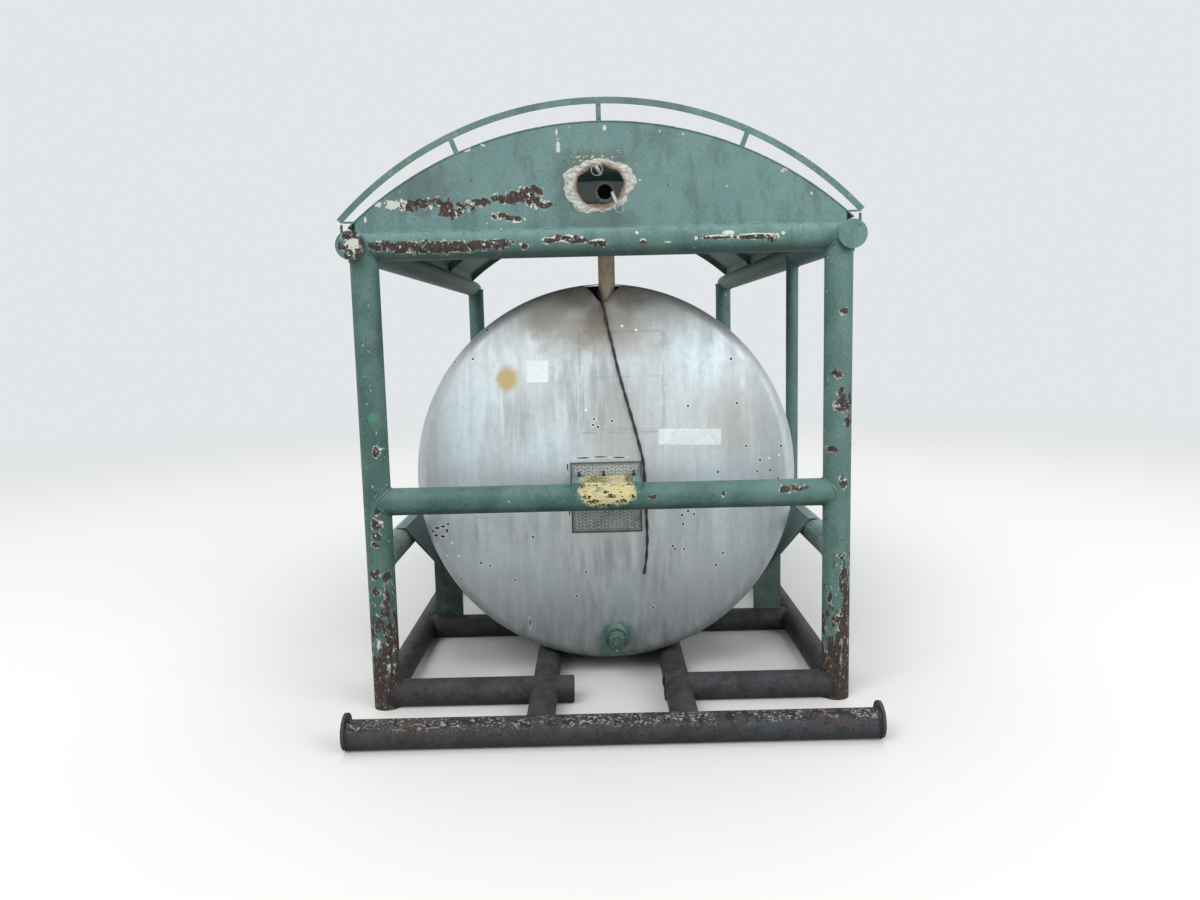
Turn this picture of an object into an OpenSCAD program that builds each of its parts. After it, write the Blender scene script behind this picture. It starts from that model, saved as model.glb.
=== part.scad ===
// Skid-mounted horizontal pressure tank in a welded pipe frame.
// Millimetres, +Z up, front of the tank towards -Y, origin on the ground under the middle.

/* [Tank] */
// Outer diameter of the tank's jacket
tank_d = 1700; // [1500:5:1900]
// Clearance between the tank and the ground
tank_clear = 80; // [60:1:200]
// Distance from a post's axis in to the rim of the jacket's head
head_in = 330; // [280:5:450]
// Radius of the crown of a jacket head
crown_r = 3500; // [2500:50:6000]
// Radius of the knuckle of a jacket head
knuckle_r = 70; // [40:5:100]
// Wall of the jacket and its heads
jacket_wall = 5; // [3:0.5:8]
// Gap for insulation between the jacket and the vessel
insulation = 70; // [50:5:90]
// Wall of the vessel
vessel_wall = 8; // [5:0.5:14]
// Radius of the hole in the jacket round the standpipe
port_r = 90; // [80:1:110]

/* [Frame] */
// Distance between the front and rear posts, axis to axis
frame_l = 3440; // [2800:20:4600]
// Outer diameter of the frame pipe
pipe_d = 114.3; // [100:0.1:125]
// Wall of the frame pipe
pipe_wall = 6; // [3:0.5:10]
// Distance from the tank's side out to the posts' axis
post_out = 110; // [80:1:200]
// Distance from the posts' axis out to the top rails' axis
rail_out = 28; // [0:1:40]
// Height of the top rails' axis above the top of the tank
rail_up = 153; // [120:1:300]
// Length of each top rail past its post's axis
rail_overhang = 100; // [70:5:200]
// Distance from the tank's axis down to the cross bars' axis
bar_down = 41; // [-60:1:120]
// Distance from the tank's axis down to the mid braces' axis
brace_down = 290; // [240:5:340]

/* [Skid] */
// Outer diameter of the tow pipes
tow_d = 114.3; // [100:0.1:125]
// Wall of the tow pipes
tow_wall = 6; // [3:0.5:10]
// Length of each tow pipe past the posts' axis, with its end plate
tow_past = 72; // [60:1:150]
// Distance from a post's axis out to the tow pipe's axis
tow_out = 412; // [300:2:600]
// Diameter of the plates on the tow pipes' ends
tow_plate_d = 141; // [130:1:200]
// Thickness of the plates on the tow pipes' ends
tow_plate_t = 12; // [6:1:20]
// Distance between the two inner skid pipes, axis to axis
inner_w = 570; // [480:5:700]
// Length of the left-hand lower rails past the inner skid pipe's axis
left_stub = 125; // [60:1:150]
// Length of the right-hand lower rails past the inner skid pipe's axis
right_stub = 57; // [57:1:150]

/* [Piping] */
// Outer diameter of the standpipe
stand_d = 73; // [60:0.5:90]
// Wall of the standpipe
stand_wall = 5; // [3:0.5:7]
// Height of the outlet's axis above the top rails' axis
outlet_up = 227; // [200:1:260]
// Bend radius of the outlet elbow
elbow_r = 70; // [60:1:90]
// Outer diameter of the drain coupling's flange
drain_d = 104; // [90:1:120]
// Height of the drain's axis above the lowest line of the tank
drain_up = 132; // [110:1:160]

/* [Canopy] */
// Radius of the roof's arc
roof_r = 1520; // [1400:5:1800]
// Height of the eaves above the top rails
eave_up = 49; // [35:1:120]
// Thickness of the roof sheet
roof_t = 4; // [2:0.5:6]
// Thickness of the arched end plate
arch_t = 6; // [4:0.5:10]
// Mean radius of the hole in the arched end plate
vent_r = 100; // [80:1:120]
// Height of the hoop's crown above the roof's crown
hoop_rise = 92; // [70:1:120]
// Leg of the hoop's angle iron
hoop_leg = 25; // [20:1:40]

/* [Saddles] */
// Distance from a post's axis in to the middle of a saddle's band
saddle_in = 650; // [640:10:750]
// Width of a saddle's band along the tank
band_w = 600; // [400:10:620]
// Thickness of a saddle's band
band_t = 10; // [6:1:16]
// Distance from a post's axis in to a saddle's legs and the cross pipes under them
leg_in = 895; // [850:5:1000]
// Width of a saddle's leg
leg_w = 140; // [100:5:180]
// Thickness of a saddle's leg
leg_t = 12; // [8:1:20]
// Outer diameter of the upright on the right
upright_d = 60.3; // [48.3:0.1:76.1]

/* [Hidden] */

gap = 0.3;            // weld gap where one piece seats on another
cut = 1;              // overshoot of a cutting tool
ear = 14;             // a coped end's tips are ground off this far from the other pipe's axis
fine = 96;            // segments of a full circle
green = [0.23, 0.42, 0.36];
brown = [0.24, 0.18, 0.16];
metal = [0.68, 0.69, 0.68];
pr = pipe_d / 2;
tr = tow_d / 2;
py = frame_l / 2;
tank_r = tank_d / 2;
tank_z = tank_r + tank_clear;
px = tank_r + post_out;
rx = px + rail_out;
ix = inner_w / 2;
rail_z = tank_z + tank_r + rail_up;
bar_z = tank_z - bar_down;
brace_z = tank_z - brace_down;
rim_y = py - head_in;
sy = py - saddle_in;
roof_cz = rail_z + pr + eave_up - sqrt(pow(roof_r, 2) - pow(rx, 2));
roof_top = roof_cz + roof_r;
outlet_z = rail_z + outlet_up;

// A pipe along Z from z0 to z1
module pipe_z(x, y, z0, z1, r = pr, wall = pipe_wall)
    translate([x, y, z0])
        difference() {
            cylinder(h = z1 - z0, r = r, $fn = fine);
            translate([0, 0, -cut]) cylinder(h = z1 - z0 + 2 * cut, r = r - wall, $fn = fine);
        }

// A pipe along Y from y0 to y1
module pipe_y(x, z, y0, y1, r = pr, wall = pipe_wall)
    translate([x, y0, z]) rotate([-90, 0, 0]) pipe_z(0, 0, 0, y1 - y0, r, wall);

// A pipe along X from x0 to x1
module pipe_x(y, z, x0, x1, r = pr, wall = pipe_wall)
    translate([x0, y, z]) rotate([0, 90, 0]) pipe_z(0, 0, 0, x1 - x0, r, wall);

// Solid rods that cope the end of one pipe to the outside of another
module rod_x(y, z, x0, x1, r = pr)
    translate([x0, y, z]) rotate([0, 90, 0]) cylinder(h = x1 - x0, r = r + gap, $fn = fine);
module rod_y(x, z, y0, y1, r = pr)
    translate([x, y0, z]) rotate([-90, 0, 0]) cylinder(h = y1 - y0, r = r + gap, $fn = fine);
module rod_z(x, y, z0, z1, r = pr)
    translate([x, y, z0]) cylinder(h = z1 - z0, r = r + gap, $fn = fine);

// side is -1 on the left and 1 on the right, and end is -1 at the front and 1 at the rear
module post(side, end) color(green)
    difference() {
        pipe_z(side * px, end * py, 0, rail_z - ear);
        rod_y(side * rx, rail_z, end * py - 2 * pr, end * py + 2 * pr);
        if (end < 0) rod_x(end * py, rail_z, -px - 2 * pr, px + 2 * pr);
    }

module top_rail(side) color(green)
    pipe_y(side * rx, rail_z, -py - rail_overhang, py + rail_overhang);

cap_t = 6;
module top_rail_caps() color(green)
    for (side = [-1, 1], end = [-1, 1])
        translate([side * rx, end * (py + rail_overhang + gap + cap_t / 2), rail_z])
            rotate([90, 0, 0]) cylinder(h = cap_t, r = pr, center = true, $fn = fine);

module front_top_beam() color(green)
    difference() {
        pipe_x(-py, rail_z, -rx + ear, rx - ear);
        for (side = [-1, 1]) rod_y(side * rx, rail_z, -py - 2 * pr, -py + 2 * pr);
    }

module cross_bar(end) color(green)
    difference() {
        pipe_x(end * py, bar_z, -px + ear, px - ear);
        for (side = [-1, 1]) rod_z(side * px, end * py, bar_z - 2 * pr, bar_z + 2 * pr);
    }

// Region under the roof's arc of radius r
module roof_disc(r)
    translate([0, roof_cz]) circle(r = r, $fn = 2 * fine);

// The vent hole's outline, torn and out of round
vent_points = 40;
function vent_radius(a) =
    vent_r * (1 + 0.05 * sin(2 * a + 40) + 0.035 * sin(5 * a) + 0.025 * cos(9 * a + 20));
module vent_hole()
    translate([0, outlet_z])
        polygon([for (i = [0 : vent_points - 1])
            let (a = 360 * i / vent_points) vent_radius(a) * [1.12 * cos(a), 0.94 * sin(a)]]);

strip_t = 6;
module front_arch_plate() color(green)
    translate([0, -py + arch_t / 2, 0]) rotate([90, 0, 0]) linear_extrude(arch_t)
        difference() {
            intersection() {
                roof_disc(roof_r - roof_t - gap);
                translate([-rx + strip_t / 2 + gap, rail_z + pr + gap])
                    square([2 * (rx - strip_t / 2 - gap), roof_top - rail_z]);
            }
            for (side = [-1, 1]) translate([side * rx, rail_z]) circle(r = pr + gap, $fn = fine);
            vent_hole();
        }

eave_out = 30;
module roof_sheet() color(green)
    translate([0, py + arch_t, 0]) rotate([90, 0, 0]) linear_extrude(2 * (py + arch_t))
        intersection() {
            difference() {
                roof_disc(roof_r);
                roof_disc(roof_r - roof_t);
            }
            translate([-rx - eave_out, rail_z]) square([2 * (rx + eave_out), roof_top]);
        }

module eave_strips() color(green)
    for (side = [-1, 1])
        translate([0, py, 0]) rotate([90, 0, 0]) linear_extrude(2 * py)
            difference() {
                intersection() {
                    translate([side * rx - strip_t / 2, rail_z + pr]) square([strip_t, roof_top - rail_z]);
                    roof_disc(roof_r - roof_t - gap);
                }
                translate([side * rx, rail_z]) circle(r = pr + gap, $fn = fine);
            }

bow_w = 40;
bow_h = 40;
bow_t = 5;
bow_y = [-py / 3, py / 3, py - bow_w];
// Angle-iron bows under the roof sheet, from one eave strip to the other
module roof_bow(y)
    translate([0, y + bow_w, 0]) rotate([90, 0, 0])
        intersection() {
            union() {
                linear_extrude(bow_w) difference() {
                    roof_disc(roof_r - roof_t - gap);
                    roof_disc(roof_r - roof_t - gap - bow_t);
                }
                linear_extrude(bow_t) difference() {
                    roof_disc(roof_r - roof_t - gap);
                    roof_disc(roof_r - roof_t - gap - bow_h);
                }
            }
            translate([-rx + strip_t / 2 + gap, rail_z + pr + gap, -cut])
                cube([2 * (rx - strip_t / 2 - gap), roof_top, bow_w + 2 * cut]);
        }
module roof_bows() color(green)
    for (y = bow_y) difference() {
        roof_bow(y);
        for (side = [-1, 1]) rod_y(side * rx, rail_z, y - cut, y + bow_w + cut);
    }

// Hoop of angle iron that follows the arch above the roof
hoop_closer = 44;      // the hoop's radius is this much less than the roof's
hoop_r = roof_r - hoop_closer;
hoop_top = roof_top + hoop_rise;
hoop_cz = hoop_top - hoop_r;
hoop_t = 4;
hoop_out = 74;         // the hoop's ends are this far past the rails' axis
hoop_half = asin((rx + hoop_out) / hoop_r);
module hoop_profile()
    difference() {
        translate([hoop_r - hoop_leg, 0]) square([hoop_leg, hoop_leg]);
        translate([hoop_r - hoop_leg - cut, hoop_t]) square([hoop_leg - hoop_t + cut, hoop_leg]);
    }
module front_hoop() color(green)
    translate([0, -py, hoop_cz]) rotate([-90, 0, 0]) rotate([0, 0, -90 - hoop_half])
        rotate_extrude(angle = 2 * hoop_half, $fn = 4 * fine) hoop_profile();

stand_w = 20;
stand_t = 5;
stand_at = [-22, 0, 22];
strut_out = 9;
strut_z = roof_cz + sqrt(pow(roof_r, 2) - pow(rx + strut_out, 2));
// The room between the top of the roof and the underside of the hoop
module under_hoop(y0, y1)
    translate([0, y1, 0]) rotate([90, 0, 0]) linear_extrude(y1 - y0)
        difference() {
            translate([0, hoop_cz]) circle(r = hoop_r - hoop_leg - gap, $fn = 2 * fine);
            roof_disc(roof_r + gap);
        }

// Radial flats between the roof and the hoop, and a strut and a leg at each end
module hoop_standoffs() color(green) {
    for (a = stand_at) intersection() {
        under_hoop(-py, -py + hoop_leg);
        translate([0, -py, roof_cz]) rotate([0, a, 0])
            translate([-stand_w / 2, 0, roof_r - cut]) cube([stand_w, stand_t, 2 * hoop_rise]);
    }
    for (side = [-1, 1]) {
        intersection() {
            under_hoop(-py, -py + hoop_leg);
            translate([side * (rx + stand_w), -py, strut_z])
                translate([-2 * stand_w, 0, 0]) cube([4 * stand_w, hoop_leg, stand_t]);
        }
        intersection() {
            translate([0, -py, hoop_cz]) rotate([-90, 0, 0])
                cylinder(h = hoop_leg, r = hoop_r - hoop_leg - gap, $fn = 2 * fine);
            translate([side * (rx + pr + gap + stand_t / 2) - stand_t / 2, -py, rail_z - pr / 2])
                cube([stand_t, hoop_leg, 4 * pr]);
        }
    }
}

// Braces from the posts to the far edges of the saddles
brace_y = sy - band_w / 2;
module mid_braces(side) color(green)
    for (end = [-1, 1])
        difference() {
            pipe_y(side * px, brace_z, min(end * (py - ear), end * brace_y),
                max(end * (py - ear), end * brace_y));
            rod_z(side * px, end * py, brace_z - 2 * pr, brace_z + 2 * pr);
        }

// Each wing of a saddle lies along the common tangent of the tank and a brace
band_out = tank_r + gap + band_t;
brace_far = sqrt(pow(px, 2) + pow(tank_z - brace_z, 2));
wing_far = band_out + gap + pr;
wing_a = atan2(px, tank_z - brace_z) - acos(wing_far / brace_far);
wing_tip = 22;
wing_l = sqrt(pow(brace_far, 2) - pow(wing_far, 2)) + wing_tip;
lip_l = 42;
lip_t = 6;
module saddle_outline() {
    intersection() {
        translate([0, tank_z]) difference() {
            circle(r = band_out, $fn = 2 * fine);
            circle(r = tank_r + gap, $fn = 2 * fine);
        }
        translate([0, tank_z]) polygon([[0, 0], [-tank_d, -tank_d / tan(wing_a)], [-tank_d, -2 * tank_d],
            [tank_d, -2 * tank_d], [tank_d, -tank_d / tan(wing_a)]]);
    }
    for (m = [0, 1]) mirror([m, 0]) {
        translate([0, tank_z]) rotate(wing_a) translate([0, -band_out]) square([wing_l, band_t]);
        translate([px - lip_l + band_t / 2, brace_z + pr + gap]) square([lip_l, lip_t]);
    }
}
// Curved plate under the tank, with wings up to the braces and a lip on top of each
module saddle_band(end) color(green)
    difference() {
        translate([0, end * sy + band_w / 2, 0]) rotate([90, 0, 0]) linear_extrude(band_w) saddle_outline();
        if (end < 0) rod_z(px, -py + leg_in, brace_z, rail_z, upright_d / 2);
    }

leg_out = px - pr - gap;
// Legs from the cross pipes up to the wings
module saddle_legs(end) color(green)
    for (side = [-1, 1])
        difference() {
            translate([0, end * (py - leg_in) + leg_t / 2, 0]) rotate([90, 0, 0]) linear_extrude(leg_t)
                difference() {
                    translate([side * (leg_out - leg_w / 2) - leg_w / 2, pr]) square([leg_w, tank_z]);
                    translate([0, tank_z]) circle(r = band_out + gap, $fn = 2 * fine);
                    mirror([side < 0 ? 1 : 0, 0]) translate([0, tank_z]) rotate(wing_a)
                        translate([-cut, -band_out - gap]) square([2 * tank_d, tank_d]);
                }
            rod_x(end * (py - leg_in), pr, -px, px);
        }

upright_wall = 4;
// Thin upright from the right-hand brace to the top rail
module right_upright() color(green)
    difference() {
        pipe_z(px, -py + leg_in, brace_z, rail_z, upright_d / 2, upright_wall);
        rod_y(px, brace_z, -py, 0);
        rod_y(rx, rail_z, -py, 0);
    }

module skid_pipe(side) color(brown)
    difference() {
        pipe_y(side * px, pr, -py + ear, py - ear);
        for (end = [-1, 1]) rod_z(side * px, end * py, -cut, 3 * pr);
    }

module inner_skid_pipe(side) color(brown)
    difference() {
        pipe_y(side * ix, pr, -py + ear, py - ear);
        for (end = [-1, 1]) rod_x(end * py, pr, -px, px);
    }

tow_half = px + tow_past;
module tow_pipe(end) color(brown)
    pipe_x(end * (py + tow_out), tr, -tow_half + tow_plate_t + gap, tow_half - tow_plate_t - gap, tr,
        tow_wall);

// Round plates that close the tow pipes and keep a sling on them, level with the pipe's underside
module tow_end_plates() color(brown)
    for (side = [-1, 1], end = [-1, 1])
        translate([side * (tow_half - tow_plate_t / 2), end * (py + tow_out), tow_plate_d / 2])
            rotate([0, 90, 0]) cylinder(h = tow_plate_t, r = tow_plate_d / 2, center = true, $fn = fine);

// Lower rails from each post to just past the inner skid pipe
module lower_rails(end) color(brown)
    for (side = [-1, 1], stub = side < 0 ? left_stub : right_stub)
        difference() {
            pipe_x(end * py, pr, min(side * (px - ear), side * (ix - stub)),
                max(side * (px - ear), side * (ix - stub)));
            rod_z(side * px, end * py, -cut, 3 * pr);
        }

// Necks that carry the tow pipes on the lower rails
module tow_necks() color(brown)
    for (side = [-1, 1], end = [-1, 1])
        difference() {
            pipe_y(side * ix, pr, min(end * (py + ear), end * (py + tow_out - ear)),
                max(end * (py + ear), end * (py + tow_out - ear)));
            rod_x(end * py, pr, -px, px);
            rod_x(end * (py + tow_out), tr, -px, px, tr);
        }

module skid_cross_pipes() color(brown)
    for (side = [-1, 1], end = [-1, 1])
        difference() {
            pipe_x(end * (py - leg_in), pr, min(side * (ix + ear), side * (px - ear)),
                max(side * (ix + ear), side * (px - ear)));
            rod_y(side * ix, pr, -py, py);
            rod_y(side * px, pr, -py, py);
        }

// A dished head as a profile: radius across, height up, rim at height 0
function crown_c(r, rc, rk) = sqrt(pow(rc - rk, 2) - pow(r - rk, 2));
module dish(r, rc, rk, c)
    union() {
        intersection() {
            translate([0, -c]) circle(r = rc, $fn = 4 * fine);
            square([(r - rk) * rc / (rc - rk), rc]);
        }
        intersection() {
            translate([r - rk, 0]) circle(r = rk, $fn = fine);
            square([r, rk]);
        }
        square([r - rk, rk / 2]);
    }
head_c = crown_c(tank_r, crown_r, knuckle_r);
head_h = crown_r - head_c;

stand_x = 22;
stand_in = 5;
stand_y = -rim_y + stand_in;
port_x = 4;
port_in = 15;
port_y = -rim_y + port_in;
module port_hole()
    translate([port_x, port_y, tank_z]) cylinder(h = tank_r + cut, r = port_r, $fn = fine);

module tank_shell() color(metal)
    difference() {
        pipe_y(0, tank_z, -rim_y, rim_y, tank_r, jacket_wall);
        port_hole();
    }

module jacket_head()
    translate([0, 0, gap]) rotate_extrude($fn = 2 * fine)
        difference() {
            dish(tank_r, crown_r, knuckle_r, head_c);
            dish(tank_r - jacket_wall, crown_r - jacket_wall, knuckle_r - jacket_wall, head_c);
        }
module front_head() color(metal)
    difference() {
        translate([0, -rim_y, tank_z]) rotate([90, 0, 0]) jacket_head();
        port_hole();
    }
module rear_head() color(metal)
    translate([0, rim_y, tank_z]) rotate([-90, 0, 0]) jacket_head();

vessel_r = tank_r - jacket_wall - insulation;
vessel_past = 5;
vessel_y = rim_y + vessel_past;
vessel_crown = crown_r - jacket_wall - insulation;
vessel_knuckle = 50;
vessel_c = crown_c(vessel_r, vessel_crown, vessel_knuckle);
// The vessel as a solid, with the wall taken off all round by t
module vessel_half(t) {
    square([vessel_r - t, vessel_y]);
    translate([0, vessel_y]) dish(vessel_r - t, vessel_crown - t, vessel_knuckle - t, vessel_c);
}
module vessel_solid(t)
    translate([0, 0, tank_z]) rotate([90, 0, 0]) rotate_extrude($fn = 2 * fine) {
        vessel_half(t);
        mirror([0, 1]) vessel_half(t);
    }
module pressure_vessel() color(brown)
    difference() {
        vessel_solid(0);
        vessel_solid(vessel_wall);
        translate([stand_x, stand_y, tank_z])
            cylinder(h = tank_r, r = stand_d / 2 - stand_wall, $fn = fine);
    }

ring_w = 12;
module spacer_rings() color(brown)
    for (end = [-1, 1])
        pipe_y(0, tank_z, end * sy - ring_w / 2, end * sy + ring_w / 2, tank_r - jacket_wall - gap,
            insulation - 2 * gap);

// Standpipe from the top of the vessel up to the outlet elbow
module standpipe() color([0.62, 0.44, 0.28])
    difference() {
        pipe_z(stand_x, stand_y, tank_z, outlet_z - elbow_r - gap, stand_d / 2, stand_wall);
        vessel_solid(-gap);
    }

socket_t = 6;
outlet_r = stand_d / 2 + socket_t;
outlet_out = 60;
// Quarter bend from the standpipe towards the front, with a socket on its end
module outlet_elbow() color([0.30, 0.28, 0.27])
    translate([stand_x, stand_y - elbow_r, outlet_z - elbow_r]) {
        rotate([90, 0, 90]) rotate_extrude(angle = 90, $fn = fine)
            translate([elbow_r, 0]) difference() {
                circle(r = stand_d / 2, $fn = fine);
                circle(r = stand_d / 2 - stand_wall, $fn = fine);
            }
        translate([0, -outlet_out, elbow_r]) rotate([-90, 0, 0]) difference() {
            cylinder(h = outlet_out, r = outlet_r, $fn = fine);
            translate([0, 0, -cut])
                cylinder(h = outlet_out + 2 * cut, r = stand_d / 2 - stand_wall, $fn = fine);
        }
    }

// Cap of the ball that the outside of the front head's crown lies on, raised by t
module front_crown(t)
    translate([0, -rim_y - gap + head_c, tank_z]) rotate([90, 0, 0]) rotate_extrude($fn = 4 * fine)
        intersection() {
            circle(r = crown_r + t, $fn = 16 * fine);
            translate([0, head_c - cut]) square([tank_r - knuckle_r, crown_r]);
        }

drain_x = 30;
drain_z = tank_z - tank_r + drain_up;
drain_bore = 24;
drain_out = 30;
drain_y = -rim_y - head_h - drain_out;
neck_r = 38;
neck_l = 26;
module drain_coupling() color(green)
    difference() {
        translate([drain_x, drain_y, drain_z]) rotate([-90, 0, 0]) {
            cylinder(h = head_h, r = neck_r, $fn = fine);
            translate([0, 0, neck_l]) cylinder(h = head_h, r = drain_d / 2, $fn = fine);
        }
        translate([drain_x, drain_y - cut, drain_z]) rotate([-90, 0, 0])
            cylinder(h = 2 * head_h, r = drain_bore, $fn = fine);
        front_crown(gap);
    }

plug_corner_r = 37;
plug_t = 22;
plug_boss_r = 16;
plug_boss_t = 6;
plug_deep = 40;
// Plug with a hexagonal head, one corner up, and a round boss on it
module drain_plug() color(green)
    translate([drain_x, drain_y - gap, drain_z]) rotate([90, 0, 0]) {
        rotate([0, 0, 90]) cylinder(h = plug_t, r = plug_corner_r, $fn = 6);
        translate([0, 0, plug_t - cut]) cylinder(h = plug_boss_t + cut, r = plug_boss_r, $fn = fine);
        translate([0, 0, -plug_deep]) cylinder(h = plug_deep + cut, r = drain_bore - gap, $fn = fine);
    }

plate_w = 308;
plate_x = -2;
plate_below = 189;
plate_above = 123;
plate_z = [bar_z - plate_below, bar_z + plate_above];
plate_t = 6;
rib_w = 10;
rib_t = 5;
module tread_block(inset, depth)
    translate([plate_x - plate_w / 2 + inset, -py, plate_z[0] + inset])
        cube([plate_w - 2 * inset, depth, plate_z[1] - plate_z[0] - 2 * inset]);
// Plate on the head's crown with a raised edge
module tread_plate() color(metal)
    difference() {
        intersection() {
            tread_block(0, head_in);
            front_crown(gap + plate_t + rib_t);
        }
        front_crown(gap);
        difference() {
            tread_block(rib_w, head_in);
            front_crown(gap + plate_t);
        }
    }

pad_x = 145;
pad_t = 10;
pad_out = 40;
// Flat step between the cross bar and the tread plate
module step_pad() color(green)
    difference() {
        translate([-pad_x, -py - pad_out, bar_z + pr + gap]) cube([2 * pad_x, head_in, pad_t]);
        front_crown(plate_t + rib_t + 2 * gap);
    }

// The cable's route, from the top of the vessel out over the edge of the port hole and down the head
cable_d = 14;
cable_sides = 10;
cable_steps = 2;
route = [[-36, -1345, 1705], [-36, -1347, 1728], [-35, -1357, 1748], [-33, -1375, 1758],
    [-28, -1398, 1757], [-20, -1424, 1745], [-11, -1449, 1726], [-5, -1467, 1708], [2, -1480, 1684],
    [9, -1486, 1655], [17, -1492, 1610], [38, -1509, 1516], [63, -1526, 1400], [89, -1538, 1300],
    [112, -1546, 1215], [132, -1552, 1140], [150, -1556, 1065], [161, -1558, 1010], [166, -1559, 937],
    [169, -1560, 860], [171, -1560, 784], [173, -1560, 710], [172, -1559, 641], [166, -1556, 570],
    [157, -1551, 508]];
function route_at(i) = route[max(0, min(len(route) - 1, i))];
// Point on the smooth curve through the route, t of the way from point i to the next
function curve(i, t) =
    let (a = route_at(i - 1), b = route_at(i), c = route_at(i + 1), d = route_at(i + 2))
    0.5 * (2 * b + t * (c - a) + t * t * (2 * a - 5 * b + 4 * c - d) + t * t * t * (3 * b - a - 3 * c + d));
cable_line = [for (i = [0 : len(route) - 2], k = [0 : cable_steps - 1]) curve(i, k / cable_steps),
    route_at(len(route) - 1)];
function unit(v) = v / norm(v);
function heading(i) = unit(cable_line[min(len(cable_line) - 1, i + 1)] - cable_line[max(0, i - 1)]);
// Ring of points round the curve at point i
function ring(i) =
    let (t = heading(i), u = unit(cross(t, [1, 0, 0])), v = cross(t, u))
    [for (k = [0 : cable_sides - 1])
        let (a = 360 * k / cable_sides) cable_line[i] + cable_d / 2 * (cos(a) * u + sin(a) * v)];
module cable() color([0.07, 0.07, 0.07])
    let (rings = len(cable_line), n = cable_sides)
        polyhedron(
            points = [for (i = [0 : rings - 1]) each ring(i)],
            faces = concat(
                [[for (k = [n - 1 : -1 : 0]) k]],
                [for (i = [0 : rings - 2], k = [0 : n - 1])
                    [i * n + k, i * n + (k + 1) % n, (i + 1) * n + (k + 1) % n, (i + 1) * n + k]],
                [[for (k = [0 : n - 1]) (rings - 1) * n + k]]),
            convexity = 4);

post(-1, -1);  // front_left_post
post(1, -1);  // front_right_post
post(-1, 1);  // rear_left_post
post(1, 1);  // rear_right_post
top_rail(-1);  // left_top_rail
top_rail(1);  // right_top_rail
top_rail_caps();
front_top_beam();
cross_bar(-1);  // front_cross_bar
cross_bar(1);  // rear_cross_bar
front_arch_plate();
roof_sheet();
roof_bows();
eave_strips();
front_hoop();
hoop_standoffs();
mid_braces(-1);  // left_mid_braces
mid_braces(1);  // right_mid_braces
saddle_band(-1);  // front_saddle_band
saddle_band(1);  // rear_saddle_band
saddle_legs(-1);  // front_saddle_legs
saddle_legs(1);  // rear_saddle_legs
right_upright();
skid_pipe(-1);  // left_skid_pipe
skid_pipe(1);  // right_skid_pipe
inner_skid_pipe(-1);  // inner_left_skid_pipe
inner_skid_pipe(1);  // inner_right_skid_pipe
tow_pipe(-1);  // front_tow_pipe
tow_pipe(1);  // rear_tow_pipe
tow_end_plates();
lower_rails(-1);  // front_lower_rails
lower_rails(1);  // rear_lower_rails
tow_necks();
skid_cross_pipes();
tank_shell();
front_head();
rear_head();
pressure_vessel();
spacer_rings();
standpipe();
outlet_elbow();
drain_coupling();
drain_plug();
tread_plate();
step_pad();
cable();
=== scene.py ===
"""Looks of a horizontal insulated pressure tank on its pipe skid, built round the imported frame.

Everything is in metres in the frame's own axes: +Z up, +Y from the front to the rear and +X to the right.
The camera and the cable come first, then each sub-assembly dresses its own nodes and adds its small pieces.
"""

from __future__ import annotations

import logging
import math
from dataclasses import dataclass
from enum import Enum
from typing import Iterable, Sequence

import bpy
import numpy as np
from mathutils import Matrix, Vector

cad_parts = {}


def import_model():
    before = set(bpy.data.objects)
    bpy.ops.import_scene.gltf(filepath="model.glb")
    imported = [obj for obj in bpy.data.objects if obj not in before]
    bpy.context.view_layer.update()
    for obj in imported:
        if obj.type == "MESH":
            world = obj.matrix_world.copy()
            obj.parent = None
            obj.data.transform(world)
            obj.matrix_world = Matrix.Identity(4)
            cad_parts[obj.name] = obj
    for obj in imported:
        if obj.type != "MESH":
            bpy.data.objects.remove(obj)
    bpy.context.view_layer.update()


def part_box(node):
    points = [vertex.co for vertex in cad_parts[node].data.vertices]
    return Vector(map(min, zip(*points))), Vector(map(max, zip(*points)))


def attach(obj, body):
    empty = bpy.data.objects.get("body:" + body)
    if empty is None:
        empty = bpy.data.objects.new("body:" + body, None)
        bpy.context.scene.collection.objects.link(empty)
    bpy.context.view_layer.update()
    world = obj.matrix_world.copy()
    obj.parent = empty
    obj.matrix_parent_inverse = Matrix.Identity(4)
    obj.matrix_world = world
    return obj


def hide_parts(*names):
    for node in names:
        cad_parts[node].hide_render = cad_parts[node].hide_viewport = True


log = logging.getLogger("tank")

MM = 0.001
BODY = "root"
Vec = tuple[float, float, float]
Pixel = tuple[float, float]
Socket = bpy.types.NodeSocket
Paint = bpy.types.Material


def linear(code: str) -> tuple[float, float, float, float]:
    """Turns an sRGB hex colour such as "#4f716d" into linear RGBA.

    Args:
        code: The colour as a hash and six hex digits.

    Returns:
        Linear red, green and blue, and an alpha of 1.
    """
    parts = [int(code[i:i + 2], 16) / 255 for i in (1, 3, 5)]
    return (*[p / 12.92 if p <= 0.04045 else ((p + 0.055) / 1.055) ** 2.4 for p in parts], 1.0)


def add(tree: bpy.types.NodeTree, kind: str, inputs: dict | None = None, **settings) -> bpy.types.Node:
    """Adds one node with its settings and the values or links of its inputs.

    Args:
        tree: The node tree that the node goes into.
        kind: The node's type name.
        inputs: Sockets by name or number, each with a constant, a socket or a node to link from.
        **settings: Attributes of the node, set before its inputs.

    Returns:
        The new node.
    """
    node = tree.nodes.new(kind)
    for name, value in settings.items():
        setattr(node, name, value)
    for key, value in (inputs or {}).items():
        if isinstance(value, bpy.types.Node):
            value = next(s for s in value.outputs if s.enabled)
        if isinstance(value, Socket):
            tree.links.new(value, node.inputs[key])
        else:
            node.inputs[key].default_value = value
    return node


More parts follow.
